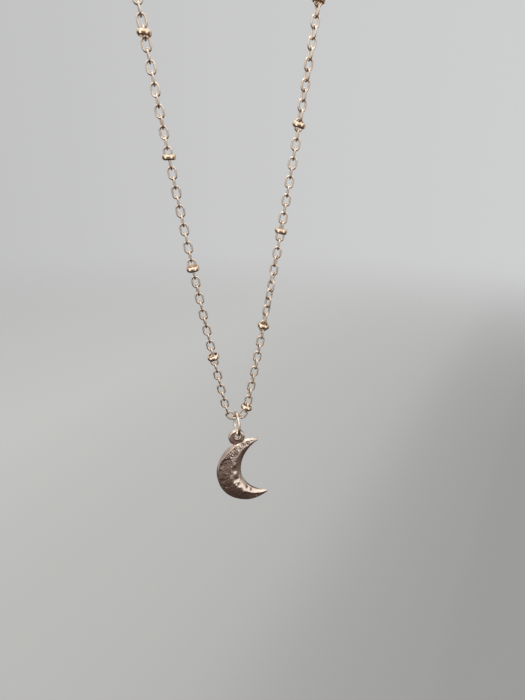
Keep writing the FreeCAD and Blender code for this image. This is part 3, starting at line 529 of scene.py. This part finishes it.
WIDE = (X_PITCH, X_WIRE, X_WIDTH, 20, 4)
swap(link_run("extension_links_1", [ext_frame(i) for i in range(1, 9)], WIDE, 18, CHAIN), "extension_run_1")
swap(link_run("extension_links_2", [ext_frame(i) for i in range(9, X_N + 1)], WIDE, 18, CHAIN), "extension_run_2")
D_MEAN, D_WIRE, D_R = 1.25, 0.45, 2.10
drop_ring_z = top_j - X_N * X_PITCH - (D_MEAN - D_WIRE / 2.0 - 0.01)
v, f = ring_mesh(D_MEAN, D_WIRE - 0.005, 0.02, 84, 22, 40.0)
Rt = basis(tangent, radial)
ob = make_object("drop_ring_fine", v @ Rt.T + np.array([EXT[0], EXT[1], drop_ring_z]), f, CHAIN, tint=np.full(len(v), 0.5))
swap(ob, "drop_ring")
l_mean, l_wire = 0.85, 0.40
loop_z = drop_ring_z - (D_MEAN - D_WIRE / 2.0 - l_wire / 2.0 - 0.02) - l_mean
ball_z = loop_z - l_mean - D_R + 0.12
nu, nv = 64, 40
ww, uu = np.meshgrid(np.linspace(0.02, math.pi - 0.02, nv), np.linspace(0, 2 * math.pi, nu, endpoint=False))
# fine flutes that fade towards the poles
rad = 0.992 * D_R + 0.012 * np.cos(18 * uu) * np.sin(ww) ** 2
vb = np.stack([rad * np.sin(ww) * np.cos(uu), rad * np.sin(ww) * np.sin(uu), rad * np.cos(ww)], 2).reshape(-1, 3)
vb = vb + np.array([EXT[0], EXT[1], ball_z])
fb = grid_faces(nu, nv, True, False)
vl, fl = plain_torus(l_mean, l_wire, 60, 18)
vl = vl @ basis(radial, tangent).T + np.array([EXT[0], EXT[1], loop_z])
# collar under the loop
nc = 40
uc = np.linspace(0, 2 * math.pi, nc, endpoint=False)
prof = [(0.30, 0.235), (0.50, 0.225), (0.60, 0.15), (0.615, 0.0), (0.615, -0.2), (0.60, -0.26)]
vc = np.array([(r_ * math.cos(a), r_ * math.sin(a), z_) for a in uc for r_, z_ in prof])
vc = vc + np.array([EXT[0], EXT[1], ball_z + D_R - 0.02])
fc = grid_faces(nc, len(prof), True, False)
V_ = np.concatenate([vb, vl, vc])
F_ = np.concatenate([fb, fl + len(vb), fc + len(vb) + len(vl)])
swap(make_object("drop_ball_fine", V_, F_, BEAD, tint=np.full(len(V_), 0.6)), "drop_ball")

# ------------------------------------------------------------------ clasp: the CAD solids with eased edges
for name, width in (("clasp_body", 0.10), ("clasp_gate", 0.08), ("clasp_pin", 0.05)):
    o = NODES[name]
    o.data.materials.clear()
    o.data.materials.append(CLASP)
    bv = o.modifiers.new("edge", "BEVEL")
    bv.width = width * MM
    bv.segments = 3
    bv.limit_method = "ANGLE"
    bv.angle_limit = math.radians(35)
    bv.harden_normals = False
    for p in o.data.polygons:
        p.use_smooth = True
    wn = o.modifiers.new("normals", "WEIGHTED_NORMAL")
    wn.keep_sharp = True
o = NODES["clasp_spring"]
o.data.materials.clear()
o.data.materials.append(STEEL)
for p in o.data.polygons:
    p.use_smooth = True

# ------------------------------------------------------------------ crescent pendant
BACK, EDGE_T, RISE = 0.45, 1.15, 0.80
FRONT = BACK - EDGE_T
inner_r = J_MEAN - J_WIRE / 2.0
hole_top = JUMP_Z - math.sqrt(inner_r ** 2 - FRONT ** 2) + 0.02
HOLE = np.array([0.0, hole_top - 0.66])
C1 = HOLE + np.array([3.25, -9.75])
C2 = C1 + np.array([5.05, 0.88])
R1, R2, RT = 8.30, 7.60, 0.30
BAND = (C1 + C2) / 2.0
RC = 7.85
HALF_W = 2.75
CAP_R = (HALF_W ** 2 + RISE ** 2) / (2 * RISE)
THICK = C1 + np.array([-5.5, -0.2])
RECESS = 0.10


def crescent_grid(nu, nv):
    """The crescent's two tips, and the angles at which they stand on the outer and the inner circle; nu and nv are not
    used.
    """
    d = C2 - C1
    dist = np.linalg.norm(d)
    ux = d / dist
    uz = np.array([-ux[1], ux[0]])
    ra, rb = R1 - RT, R2 + RT
    a = (dist ** 2 + ra ** 2 - rb ** 2) / (2 * dist)
    h = math.sqrt(ra * ra - a * a)
    up, lo = C1 + a * ux + h * uz, C1 + a * ux - h * uz

    def ang(c, p):
        return math.atan2(p[1] - c[1], p[0] - c[0]) % (2 * math.pi)
    o0, o1 = ang(C1, up), ang(C1, lo)
    i0, i1 = ang(C2, up), ang(C2, lo)
    return up, lo, (o0, o1), (i0, i1)


UP, LO, (O0, O1), (I0, I1) = crescent_grid(0, 0)


def outline(n_arc=220, n_tip=10):
    pts = []
    for t in np.linspace(O0, O1, n_arc):
        pts.append(C1 + R1 * np.array([math.cos(t), math.sin(t)]))
    a0, a1 = O1, (I1 + math.pi) % (2 * math.pi)
    if a1 < a0:
        a1 += 2 * math.pi
    for t in np.linspace(a0, a1, n_tip)[1:-1]:
        pts.append(LO + RT * np.array([math.cos(t), math.sin(t)]))
    for t in np.linspace(I1, I0, n_arc):
        pts.append(C2 + R2 * np.array([math.cos(t), math.sin(t)]))
    a0, a1 = (I0 + math.pi) % (2 * math.pi), O0
    if a1 < a0:
        a1 += 2 * math.pi
    for t in np.linspace(a0, a1, n_tip)[1:-1]:
        pts.append(UP + RT * np.array([math.cos(t), math.sin(t)]))
    return np.array(pts)


def ease(x):
    x = np.clip(x, 0, 1)
    return x * x * (3 - 2 * x)


def band_place(p):
    """Distances in from the outer and the inner edge."""
    return R1 - np.linalg.norm(p - C1, axis=-1), np.linalg.norm(p - C2, axis=-1) - R2


def front_y(p):
    """Height of the crowned front before the relief (more negative is further forward)."""
    d1, d2 = band_place(p)
    w = np.maximum(d1 + d2, 0.05)
    t = np.clip(d1 / w, 0, 1)
    # a soft ridge along the band; on the lower horn it sharpens and moves inwards
    low = ease((p[..., 0] - C1[0] + 3.4) / 3.4) * ease((C1[1] - 2.2 - p[..., 1]) / 2.2)
    high = ease((p[..., 1] - C1[1] - 2.5) / 3.0)
    tr = 0.50 + 0.17 * low
    fall_out = 0.80 - 0.44 * low - 0.90 * high
    top = np.minimum(0.80 * np.clip(w / 4.9, 0, 1) ** 0.85, 0.80)
    outer = 1 - fall_out * np.clip((tr - t) / tr, 0, 1) ** 1.35
    inner = 1 - np.clip((t - tr) / (1 - tr), 0, 1) ** (1.7 - 0.6 * low)
    h = top * np.where(t > tr, inner, outer)
    far = np.linalg.norm(p - THICK, axis=-1)
    thin = 60.0 - np.sqrt(60.0 ** 2 - np.clip(far, 0, 20) ** 2)
    return FRONT - h + 0.55 * thin


# hollows and bumps of the hammered, cratered front: x and z from the outer arc's centre, radius, depth (+ is a hollow)
def relief_table():
    t = [(-7.29, 2.47, 0.46, 0.13), (-7.62, 1.16, 0.42, 0.11), (-7.14, -1.42, 0.62, 0.15), (-5.70, 4.11, 0.40, 0.11),
         (-3.74, -1.59, 0.62, 0.20), (-4.43, 1.31, 0.70, 0.12), (-3.27, -3.22, 0.55, 0.12), (-0.8, -4.33, 0.60, 0.14),
         (-2.79, -5.01, 0.75, 0.10), (-5.72, -3.21, 0.62, 0.09), (-6.69, -3.18, 0.42, 0.11), (-1.56, -6.1, 0.70, 0.10),
         (-0.97, 7.35, 0.45, 0.11), (-2.17, 7.3, 0.50, 0.09), (-6.01, 5.3, 0.55, 0.07), (-3.88, 5.2, 0.60, 0.10),
         (-2.9, 6.6, 0.50, 0.08), (-6.9, 4.0, 0.42, 0.10), (1.71, -6.9, 0.55, 0.08), (-5.0, -5.2, 0.55, 0.08),
         (-3.9, -6.2, 0.5, 0.08), (-6.75, -0.2, 0.5, 0.07), (-5.2, 2.9, 0.5, 0.05), (3.6, -7.0, 0.4, 0.06),
         (-6.31, 3.4, 0.36, -0.09), (-6.38, 0.39, 0.40, -0.08), (-4.17, 2.5, 0.62, -0.12), (-3.96, -0.16, 0.68, -0.13),
         (-0.55, -5.27, 0.55, -0.12), (-4.5, -2.6, 0.42, -0.08), (-3.9, -3.2, 0.42, -0.10), (-3.1, -3.95, 0.45, -0.11),
         (-5.3, -0.8, 0.8, -0.04), (-5.4, 1.8, 0.7, -0.04)]
    return np.array(t)


RELIEF = relief_table()
hammer = np.random.default_rng(77)
_h = []
while len(_h) < 150:
    t_ = hammer.uniform(0, 2 * math.pi)
    r_ = hammer.uniform(4.6, 11.0)
    p_ = BAND + r_ * np.array([math.cos(t_), math.sin(t_)])
    if np.linalg.norm(p_ - C1) < R1 + 0.3 and np.linalg.norm(p_ - C2) > R2 - 0.3:
        if all(np.linalg.norm(p_ - q_[:2]) > 0.55 for q_ in _h):
            _h.append((p_[0], p_[1], hammer.uniform(0.9, 1.3)))
HAMMER = np.array(_h)


def relief(p):
    """Depth of the relief at 2-D points (N, 2); + is into the metal."""
    # planished cups: the upper envelope of shallow bowls meets in soft ridges
    d2 = ((p[:, None, :] - HAMMER[None, :, :2]) ** 2).sum(2) / HAMMER[None, :, 2] ** 2
    k = 9.0
    cup = -np.log(np.exp(-k * np.minimum(d2, 4.0)).sum(1)) / k
    d1, din = band_place(p)
    t = np.clip(d1 / np.maximum(d1 + din, 0.05), 0, 1)
    outer_half = 1 - ease((t - 0.42) / 0.22)
    h = (0.014 + 0.016 * outer_half) * (0.55 - np.clip(cup, -0.4, 0.75))
    q = p - C1
    for x_, z_, r_, dep in RELIEF:
        dd = ((q[:, 0] - x_) ** 2 + (q[:, 1] - z_) ** 2) / (r_ * r_)
        inner = math.hypot(x_ + C1[0] - C2[0], z_ + C1[1] - C2[1]) - R2 < 2.3
        g = (0.42 if dep > 0 else 0.5) if inner else (0.55 if dep > 0 else 0.8)
        h = h + g * dep * np.exp(-1.4 * dd) - 0.16 * g * dep * np.exp(-((np.sqrt(dd) - 1.35) / 0.32) ** 2)
    # short wandering tool marks over the outer half
    u, v = q[:, 0], q[:, 1]
    mark = np.sin(6.1 * u + 2.1 * np.sin(2.3 * v + 0.8)) * np.sin(5.3 * v + 2.4 * np.sin(2.1 * u - 0.5))
    mark = np.maximum(mark, np.sin(8.3 * u + 3.0 * np.sin(1.9 * v)) * np.sin(3.9 * v + 2.0 * np.sin(3.1 * u + 1.2)) - 0.1)
    h = h + 0.044 * outer_half * ease((mark - 0.36) / 0.40)
    # ring crater
    rr = np.hypot(q[:, 0] + 4.65, q[:, 1] - 4.96)
    h = h + 0.085 * np.exp(-((rr - 0.36) / 0.13) ** 2) - 0.04 * np.exp(-(rr / 0.17) ** 2)
    return h


def crescent_shell():
    """Closed shell: rings that shrink from the rim to a spine, front and back."""
    rim = outline()
    n = len(rim)
    # spine point for each rim point: foot on the mid line of the band
    th = np.arctan2(rim[:, 1] - BAND[1], rim[:, 0] - BAND[0]) % (2 * math.pi)
    lo_a = (math.atan2(LO[1] - BAND[1], LO[0] - BAND[0]) % (2 * math.pi)) - 0.02
    hi_a = (math.atan2(UP[1] - BAND[1], UP[0] - BAND[0]) % (2 * math.pi)) + 0.02
    th = np.clip(th, hi_a, lo_a)
    mid = []
    for a in th:
        dv = np.array([math.cos(a), math.sin(a)])
        # crossing with the outer and inner circles along this direction
        def hit(c, r_, sgn):
            w = BAND - c
            b = w.dot(dv)
            disc = max(b * b - (w.dot(w) - r_ * r_), 0.0)
            return -b + sgn * math.sqrt(disc)
        ro_, ri_ = hit(C1, R1, 1), hit(C2, R2, 1)
        mid.append(BAND + dv * (ro_ + ri_) / 2.0)
    mid = np.array(mid)
    rings = []
    bev = 0.13
    nrm = []
    for i in range(n):
        t_ = rim[(i + 1) % n] - rim[i - 1]
        t_ /= np.linalg.norm(t_)
        nrm.append((-t_[1], t_[0]))
    nrm = np.array(nrm)       # points inwards for a counter-clockwise outline
    # back edge, side wall, front edge
    for a in np.linspace(0, math.pi / 2, 5):
        inset = bev * (1 - math.sin(a))
        y = BACK - bev * (1 - math.cos(a)) * 1.0
        rings.append((rim + nrm * inset, np.full(n, y)))
    fy = front_y(rim + nrm * bev)
    for a in np.linspace(0, math.pi / 2, 6):
        inset = bev * (1 - math.cos(a))
        y = fy + bev * (1 - math.sin(a))
        rings.append((rim + nrm * inset, y))
    start = rim + nrm * bev
    for s_ in np.linspace(0, 1, 34)[1:]:
        p = start + (mid - start) * s_
        rings.append((p, front_y(p)))
    front_rings = rings
    back = []
    for s_ in np.linspace(0, 1, 12)[1:]:
        p = start + (mid - start) * s_
        back.append((p, np.full(n, BACK)))
    allr = list(reversed(back)) + front_rings
    v = np.concatenate([np.stack([p[:, 0], y, p[:, 1]], 1) for p, y in allr])
    f = grid_faces(len(allr), n, False, True)
    return v, f


def solid_disc(cx, cz, r_out, y0, y1, bev, n=72):
    """Closed round lobe along Y with rounded edges."""
    prof = [(0.0, y0), (r_out - bev, y0)]
    for a in np.linspace(0, math.pi / 2, 6)[1:]:
        prof.append((r_out - bev + bev * math.sin(a), y0 - bev * (1 - math.cos(a)) * (1 if y0 > y1 else -1)))
    for a in np.linspace(0, math.pi / 2, 6):
        prof.append((r_out - bev + bev * math.cos(a), y1 + bev * (1 - math.sin(a)) * (1 if y0 > y1 else -1)))
    prof.append((0.0, y1))
    prof = np.array(prof); prof[0, 0] = prof[-1, 0] = 0.01
    th = np.linspace(0, 2 * math.pi, n, endpoint=False)
    v = np.array([(cx + r_ * math.cos(a), y_, cz + r_ * math.sin(a)) for a in th for r_, y_ in prof])
    return v, grid_faces(n, len(prof), True, False)


def temp_object(name, v, f):
    ob = make_object(name, v, f, MOON)
    bm = bmesh.new(); bm.from_mesh(ob.data)
    bmesh.ops.remove_doubles(bm, verts=bm.verts, dist=1e-7)
    bmesh.ops.holes_fill(bm, edges=[e for e in bm.edges if e.is_boundary], sides=0)
    bmesh.ops.recalc_face_normals(bm, faces=bm.faces)
    bm.to_mesh(ob.data); bm.free()
    return ob


def apply_modifiers(ob):
    dg = bpy.context.evaluated_depsgraph_get()
    me = bpy.data.meshes.new_from_object(ob.evaluated_get(dg))
    old = ob.data
    ob.modifiers.clear()
    ob.data = me
    bpy.data.meshes.remove(old)


LOBE = HOLE + np.array([-0.18, -0.45])
shell = temp_object("moon_shell", *crescent_shell())
lobe = temp_object("moon_lobe", *solid_disc(LOBE[0], LOBE[1], 1.91, BACK - RECESS, FRONT - 0.10, 0.24))
nd = (C1 - LOBE) / np.linalg.norm(C1 - LOBE)
# neck as a short chain of overlapping lobes between the eyelet and the rim
parts = [shell, lobe]
for k_, (along, r_) in enumerate(((0.9, 1.55), (1.5, 1.40), (2.1, 1.35))):
    c_ = LOBE + nd * along
    parts.append(temp_object("moon_neck_%d" % k_, *solid_disc(c_[0], c_[1], r_, BACK - RECESS, FRONT + 0.05, 0.22)))
bm = bmesh.new()
for o_ in parts:
    bm.from_mesh(o_.data)
me = bpy.data.meshes.new("crescent_fine")
bm.to_mesh(me); bm.free()
for o_ in parts:
    d_ = o_.data
    bpy.data.objects.remove(o_)
    bpy.data.meshes.remove(d_)
moon = bpy.data.objects.new("crescent_fine", me)
scene.collection.objects.link(moon)
me.materials.append(MOON)
rm = moon.modifiers.new("fuse", "REMESH")
rm.mode = "VOXEL"
rm.voxel_size = 0.062 * MM
rm.adaptivity = 0.0
apply_modifiers(moon)
# the hole, countersunk on both faces: a waisted cutter
prof = [(0.0, 1.6), (0.93, 1.6), (0.93, BACK - RECESS + 0.001), (0.86, BACK - 0.17), (0.74, BACK - 0.28), (0.665, BACK - 0.40),
        (0.66, -0.1), (0.665, FRONT + 0.12), (0.70, FRONT + 0.0), (0.77, FRONT - 0.08), (0.82, FRONT - 0.12), (0.82, -2.6), (0.0, -2.6)]
prof = [(max(r_, 0.001), y_) for r_, y_ in prof]
th = np.linspace(0, 2 * math.pi, 64, endpoint=False)
vcut = np.array([(HOLE[0] + r_ * math.cos(a), y_, HOLE[1] + r_ * math.sin(a)) for a in th for r_, y_ in prof])
cutter = temp_object("hole_cutter", vcut, grid_faces(64, len(prof), True, False))
bo = moon.modifiers.new("hole", "BOOLEAN")
bo.operation = "DIFFERENCE"
bo.object = cutter
bo.solver = "EXACT"
apply_modifiers(moon)
d_ = cutter.data
bpy.data.objects.remove(cutter)
bpy.data.meshes.remove(d_)
# relief, pressed in along Y on the front, faded out round the eyelet
me = moon.data
n_ = len(me.vertices)
co = np.empty(n_ * 3); me.vertices.foreach_get("co", co); co = co.reshape(-1, 3) / MM
no = np.empty(n_ * 3); me.vertices.foreach_get("normal", no); no = no.reshape(-1, 3)
# soften the stair steps of the fused surface first
ed = np.empty(len(me.edges) * 2, int); me.edges.foreach_get("vertices", ed); ed = ed.reshape(-1, 2)
near_hole = np.hypot(co[:, 0] - HOLE[0], co[:, 2] - HOLE[1]) < 1.15
for it in range(8):
    acc = np.zeros_like(co); cnt = np.zeros(n_)
    np.add.at(acc, ed[:, 0], co[ed[:, 1]]); np.add.at(acc, ed[:, 1], co[ed[:, 0]])
    np.add.at(cnt, ed[:, 0], 1); np.add.at(cnt, ed[:, 1], 1)
    lap = acc / np.maximum(cnt, 1)[:, None] - co
    fac = 0.55 if it % 2 == 0 else -0.57
    lap[near_hole] = 0
    co = co + fac * lap
p2 = co[:, [0, 2]]
facing = np.clip((-no[:, 1] - 0.15) / 0.35, 0, 1)
d_in1 = R1 - np.linalg.norm(p2 - C1, axis=1)
d_in2 = np.linalg.norm(p2 - C2, axis=1) - R2
rim_fade = np.clip(np.minimum(d_in1, d_in2) / 0.35, 0, 1)
eye_d = np.linalg.norm(p2 - LOBE, axis=1)
eye_fade = np.clip((eye_d - 1.95) / 0.6, 0, 1)
dep = relief(p2)
co[:, 1] += dep * facing * rim_fade * eye_fade
# the eyelet's own hammer facets, and shallow tool marks along the rim and the back
lobe_m = facing * (1 - eye_fade) * np.clip((np.hypot(p2[:, 0] - HOLE[0], p2[:, 1] - HOLE[1]) - 1.05) / 0.3, 0, 1)
co[:, 1] += lobe_m * (0.035 + 0.03 * np.cos(3.1 * p2[:, 0] + 1.0) * np.cos(2.6 * p2[:, 1] + 0.4))
step_in = (eye_d < 2.17) & (co[:, 1] > BACK - RECESS)
co[step_in, 1] = BACK - RECESS
side = 1 - np.clip(np.abs(no[:, 1]) / 0.6, 0, 1)
ang_ = np.arctan2(p2[:, 1] - BAND[1], p2[:, 0] - BAND[0])
w_ = -0.018 * side * (0.5 + 0.5 * np.sin(41 * ang_ + 2.0 * np.sin(7 * ang_)))
w_[near_hole] = 0
co[:, 0] += no[:, 0] * w_
co[:, 2] += no[:, 2] * w_
back_m = np.clip((no[:, 1] - 0.3) / 0.4, 0, 1)
co[:, 1] -= back_m * (0.012 + 0.010 * np.sin(3.3 * p2[:, 0] + 0.7 * p2[:, 1]) * np.sin(2.9 * p2[:, 1] - 0.5 * p2[:, 0]))
me.vertices.foreach_set("co", (co * MM).ravel())
me.update()
me.polygons.foreach_set("use_smooth", np.full(len(me.polygons), True))
at_ = me.attributes.new("tint", "FLOAT", "POINT")
# painted shade: the base colour is darkened where the relief is deep, so the hollows read darker and the raised bumps
# lighter
tone = np.clip(0.9 - 8.0 * np.clip(dep - 0.018, -0.05, 0.15) * facing * rim_fade * eye_fade, 0, 1)
at_.data.foreach_set("value", tone.astype(np.float32))
if not me.materials:
    me.materials.append(MOON)
swap(moon, "crescent_pendant")

# ------------------------------------------------------------------ stage: pale floor that fades out, with painted shade towards the front right; soft studio light
floor_me = bpy.data.meshes.new("floor")
fz = -0.300
nr, na = 24, 96
vf = [(0, 0, fz)]
for i in range(1, nr + 1):
    r_ = 1.6 * (i / nr) ** 1.5
    vf += [(r_ * math.cos(2 * math.pi * k_ / na), r_ * math.sin(2 * math.pi * k_ / na), fz) for k_ in range(na)]
ff = [(0, 1 + k_, 1 + (k_ + 1) % na) for k_ in range(na)]
for i in range(nr - 1):
    b0, b1 = 1 + i * na, 1 + (i + 1) * na
    ff += [(b0 + k_, b1 + k_, b1 + (k_ + 1) % na, b0 + (k_ + 1) % na) for k_ in range(na)]
floor_me.from_pydata(vf, [], ff)
floor = bpy.data.objects.new("floor", floor_me)
scene.collection.objects.link(floor)
fm = bpy.data.materials.new("floor_pale")
fm.use_nodes = True
nt = fm.node_tree
nt.nodes.clear()
o_ = nt.nodes.new("ShaderNodeOutputMaterial")
mx = nt.nodes.new("ShaderNodeMixShader")
tr = nt.nodes.new("ShaderNodeBsdfTransparent")
df = nt.nodes.new("ShaderNodeBsdfDiffuse")
fr = nt.nodes.new("ShaderNodeValToRGB")
# painted shade: the floor's colour darkens along x - y, towards the front right, standing in for the falloff of the
# light
floor_painted_shade = ((0.0, 0.468), (0.30, 0.420), (0.58, 0.398), (0.72, 0.378), (0.82, 0.318), (0.953, 0.284), (1.0, 0.272))
while len(fr.color_ramp.elements) < len(floor_painted_shade):
    fr.color_ramp.elements.new(0.5)
for el_, (p_, c_) in zip(fr.color_ramp.elements, floor_painted_shade):
    el_.position = p_
    el_.color = (c_, c_ * 1.028, c_ * 1.066, 1)
fm_r = nt.nodes.new("ShaderNodeMapRange")
fm_r.inputs["From Min"].default_value = -0.35
fm_r.inputs["From Max"].default_value = 0.08
across = nt.nodes.new("ShaderNodeVectorMath"); across.operation = "DOT_PRODUCT"
across.inputs[1].default_value = (1, -1, 0)
tc = nt.nodes.new("ShaderNodeTexCoord")
ln = nt.nodes.new("ShaderNodeVectorMath"); ln.operation = "LENGTH"
mr = nt.nodes.new("ShaderNodeMapRange")
mr.inputs["From Min"].default_value = 0.32
mr.inputs["From Max"].default_value = 0.95
mr.inputs["To Min"].default_value = 0.0
mr.inputs["To Max"].default_value = 1.0
mr.interpolation_type = "SMOOTHSTEP"
nt.links.new(tc.outputs["Object"], ln.inputs[0])
nt.links.new(ln.outputs["Value"], mr.inputs["Value"])
nt.links.new(tc.outputs["Object"], across.inputs[0])
nt.links.new(across.outputs["Value"], fm_r.inputs["Value"])
nt.links.new(fm_r.outputs["Result"], fr.inputs["Fac"])
fr.color_ramp.interpolation = "B_SPLINE"
nt.links.new(fr.outputs["Color"], df.inputs["Color"])
nt.links.new(mr.outputs["Result"], mx.inputs["Fac"])
nt.links.new(df.outputs["BSDF"], mx.inputs[1])
nt.links.new(tr.outputs["BSDF"], mx.inputs[2])
nt.links.new(mx.outputs["Shader"], o_.inputs["Surface"])
floor_me.materials.append(fm)
floor.visible_glossy = False

world = bpy.data.worlds.new("studio")
scene.world = world
world.use_nodes = True
nt = world.node_tree
nt.nodes.clear()
N, L = nt.nodes.new, nt.links.new
wo = N("ShaderNodeOutputWorld")
lp = N("ShaderNodeLightPath")
tc = N("ShaderNodeTexCoord")
sep = N("ShaderNodeSeparateXYZ")
L(tc.outputs["Generated"], sep.inputs["Vector"])


def ramp_on(value, stops):
    r = N("ShaderNodeValToRGB")
    while len(r.color_ramp.elements) < len(stops):
        r.color_ramp.elements.new(0.5)
    for e_, (p_, c_) in zip(r.color_ramp.elements, stops):
        e_.position = p_
        e_.color = (*c_, 1)
    L(value, r.inputs["Fac"])
    return r.outputs["Color"]


def remap(value, a, b):
    m_ = N("ShaderNodeMapRange")
    m_.inputs["From Min"].default_value = a
    m_.inputs["From Max"].default_value = b
    L(value, m_.inputs["Value"])
    return m_.outputs["Result"]


up_fac = remap(sep.outputs["Z"], -1.0, 1.0)


def mix_col(kind, fac, a_, b_):
    m_ = N("ShaderNodeMix")
    m_.data_type = "RGBA"
    m_.blend_type = kind
    if isinstance(fac, float):
        m_.inputs["Factor"].default_value = fac
    else:
        L(fac, m_.inputs["Factor"])
    L(a_, m_.inputs["A"])
    L(b_, m_.inputs["B"])
    return m_.outputs["Result"]


# what the metal sees: soft overhead light, dim room in front below, grey behind
front_col = ramp_on(up_fac, [(0.0, (0.045, 0.032, 0.026)), (0.17, (0.085, 0.060, 0.052)), (0.27, (0.190, 0.142, 0.134)),
                             (0.44, (0.215, 0.168, 0.152)), (0.54, (0.32, 0.27, 0.24)), (0.67, (1.02, 0.98, 0.91)),
                             (1.0, (1.22, 1.19, 1.13))])
back_col = ramp_on(up_fac, [(0.0, (0.050, 0.036, 0.028)), (0.42, (0.075, 0.056, 0.045)), (0.56, (0.19, 0.158, 0.135)),
                            (0.72, (0.88, 0.84, 0.77)), (1.0, (1.20, 1.17, 1.11))])
seen = mix_col("MIX", remap(sep.outputs["Y"], -0.25, 0.35), front_col, back_col)
# two tall soft panels either side of the front, and two dimmer ones behind
flat_v = N("ShaderNodeVectorMath")
flat_v.operation = "MULTIPLY"
flat_v.inputs[1].default_value = (1, 1, 0)
L(tc.outputs["Generated"], flat_v.inputs[0])
flat_n = N("ShaderNodeVectorMath")
flat_n.operation = "NORMALIZE"
L(flat_v.outputs["Vector"], flat_n.inputs[0])
tall = ramp_on(up_fac, [(0.0, (0, 0, 0)), (0.235, (0, 0, 0)), (0.335, (1, 1, 1)), (1.0, (1, 1, 1))])
for azimuth, half_deg, soft_deg, tone in ((-66.0, 12.0, 10.0, (1.38, 1.34, 1.27)), (36.0, 10.0, 10.0, (1.22, 1.19, 1.13)),
                                          (-160.0, 9.0, 12.0, (0.50, 0.47, 0.43)), (118.0, 9.0, 12.0, (0.60, 0.57, 0.52))):
    dp = N("ShaderNodeVectorMath")
    dp.operation = "DOT_PRODUCT"
    a_r = math.radians(azimuth)
    dp.inputs[1].default_value = (math.sin(a_r), -math.cos(a_r), 0)
    L(flat_n.outputs["Vector"], dp.inputs[0])
    wid = remap(dp.outputs["Value"], math.cos(math.radians(half_deg + soft_deg)), math.cos(math.radians(half_deg)))
    col = N("ShaderNodeRGB")
    col.outputs[0].default_value = (*tone, 1)
    lit = mix_col("MULTIPLY", 1.0, tall, col.outputs[0])
    seen = mix_col("LIGHTEN", wid, seen, lit)
bg_see = N("ShaderNodeBackground")
L(seen, bg_see.inputs["Color"])
bg_see.inputs["Strength"].default_value = 1.0
# what shows past the floor: a plain pale grey wall, with painted light making it a little lighter to the right
bg_cam = N("ShaderNodeBackground")
wall = ramp_on(remap(sep.outputs["X"], -0.35, 0.75), [(0.0, (0.515, 0.517, 0.517)), (0.5, (0.585, 0.588, 0.588)),
                                                       (1.0, (0.625, 0.63, 0.63))])
# painted shade: the backdrop darkens below the horizon
low = ramp_on(up_fac, [(0.0, (0.62, 0.61, 0.60)), (0.22, (0.70, 0.695, 0.69)), (0.42, (1, 1, 1)), (1.0, (1, 1, 1))])
L(mix_col("MULTIPLY", 1.0, wall, low), bg_cam.inputs["Color"])
bg_cam.inputs["Strength"].default_value = 1.0
mixw = N("ShaderNodeMixShader")
L(lp.outputs["Is Camera Ray"], mixw.inputs["Fac"])
L(bg_see.outputs["Background"], mixw.inputs[1])
L(bg_cam.outputs["Background"], mixw.inputs[2])
L(mixw.outputs["Shader"], wo.inputs["Surface"])


def area(name, loc, target, size, power, colour=(1, 0.97, 0.93)):
    li = bpy.data.lights.new(name, "AREA")
    li.shape = "DISK"
    li.size = size
    li.energy = power
    li.color = colour
    ob_ = bpy.data.objects.new(name, li)
    scene.collection.objects.link(ob_)
    ob_.location = loc
    ob_.rotation_mode = "QUATERNION"
    ob_.rotation_quaternion = (Vector(target) - Vector(loc)).to_track_quat("-Z", "Y")
    return ob_


area("key_top", (-0.25, -0.20, 0.55), (0, 0, -0.12), 0.35, 0.9)
area("fill_right", (0.45, -0.45, 0.12), (0, 0, -0.12), 0.20, 0.16)
area("rim_back", (0.10, 0.50, 0.30), (0, 0, -0.12), 0.30, 0.35)

# ------------------------------------------------------------------ camera
cam_d = bpy.data.cameras.new("camera")
cam = bpy.data.objects.new("camera", cam_d)
scene.collection.objects.link(cam)
scene.camera = cam
cam_d.sensor_width = 36.0
cam_d.lens = 27.0
cam_d.clip_start = 0.005
cam_d.clip_end = 50.0
fw = Vector((0.24740783, 0.90613638, -0.34308341)).normalized()
up_v = Vector((0.08630594, 0.33207399, 0.93929663)).normalized()
rt = fw.cross(up_v).normalized()
up_v = rt.cross(fw).normalized()
cam.rotation_mode = "QUATERNION"
cam.rotation_quaternion = Matrix((rt, up_v, -fw)).transposed().to_quaternion()
cam.location = Vector((-22.9637627, -106.4207365, -124.2816953)) * MM
scene.view_settings.view_transform = "Standard"
scene.view_settings.look = "None"
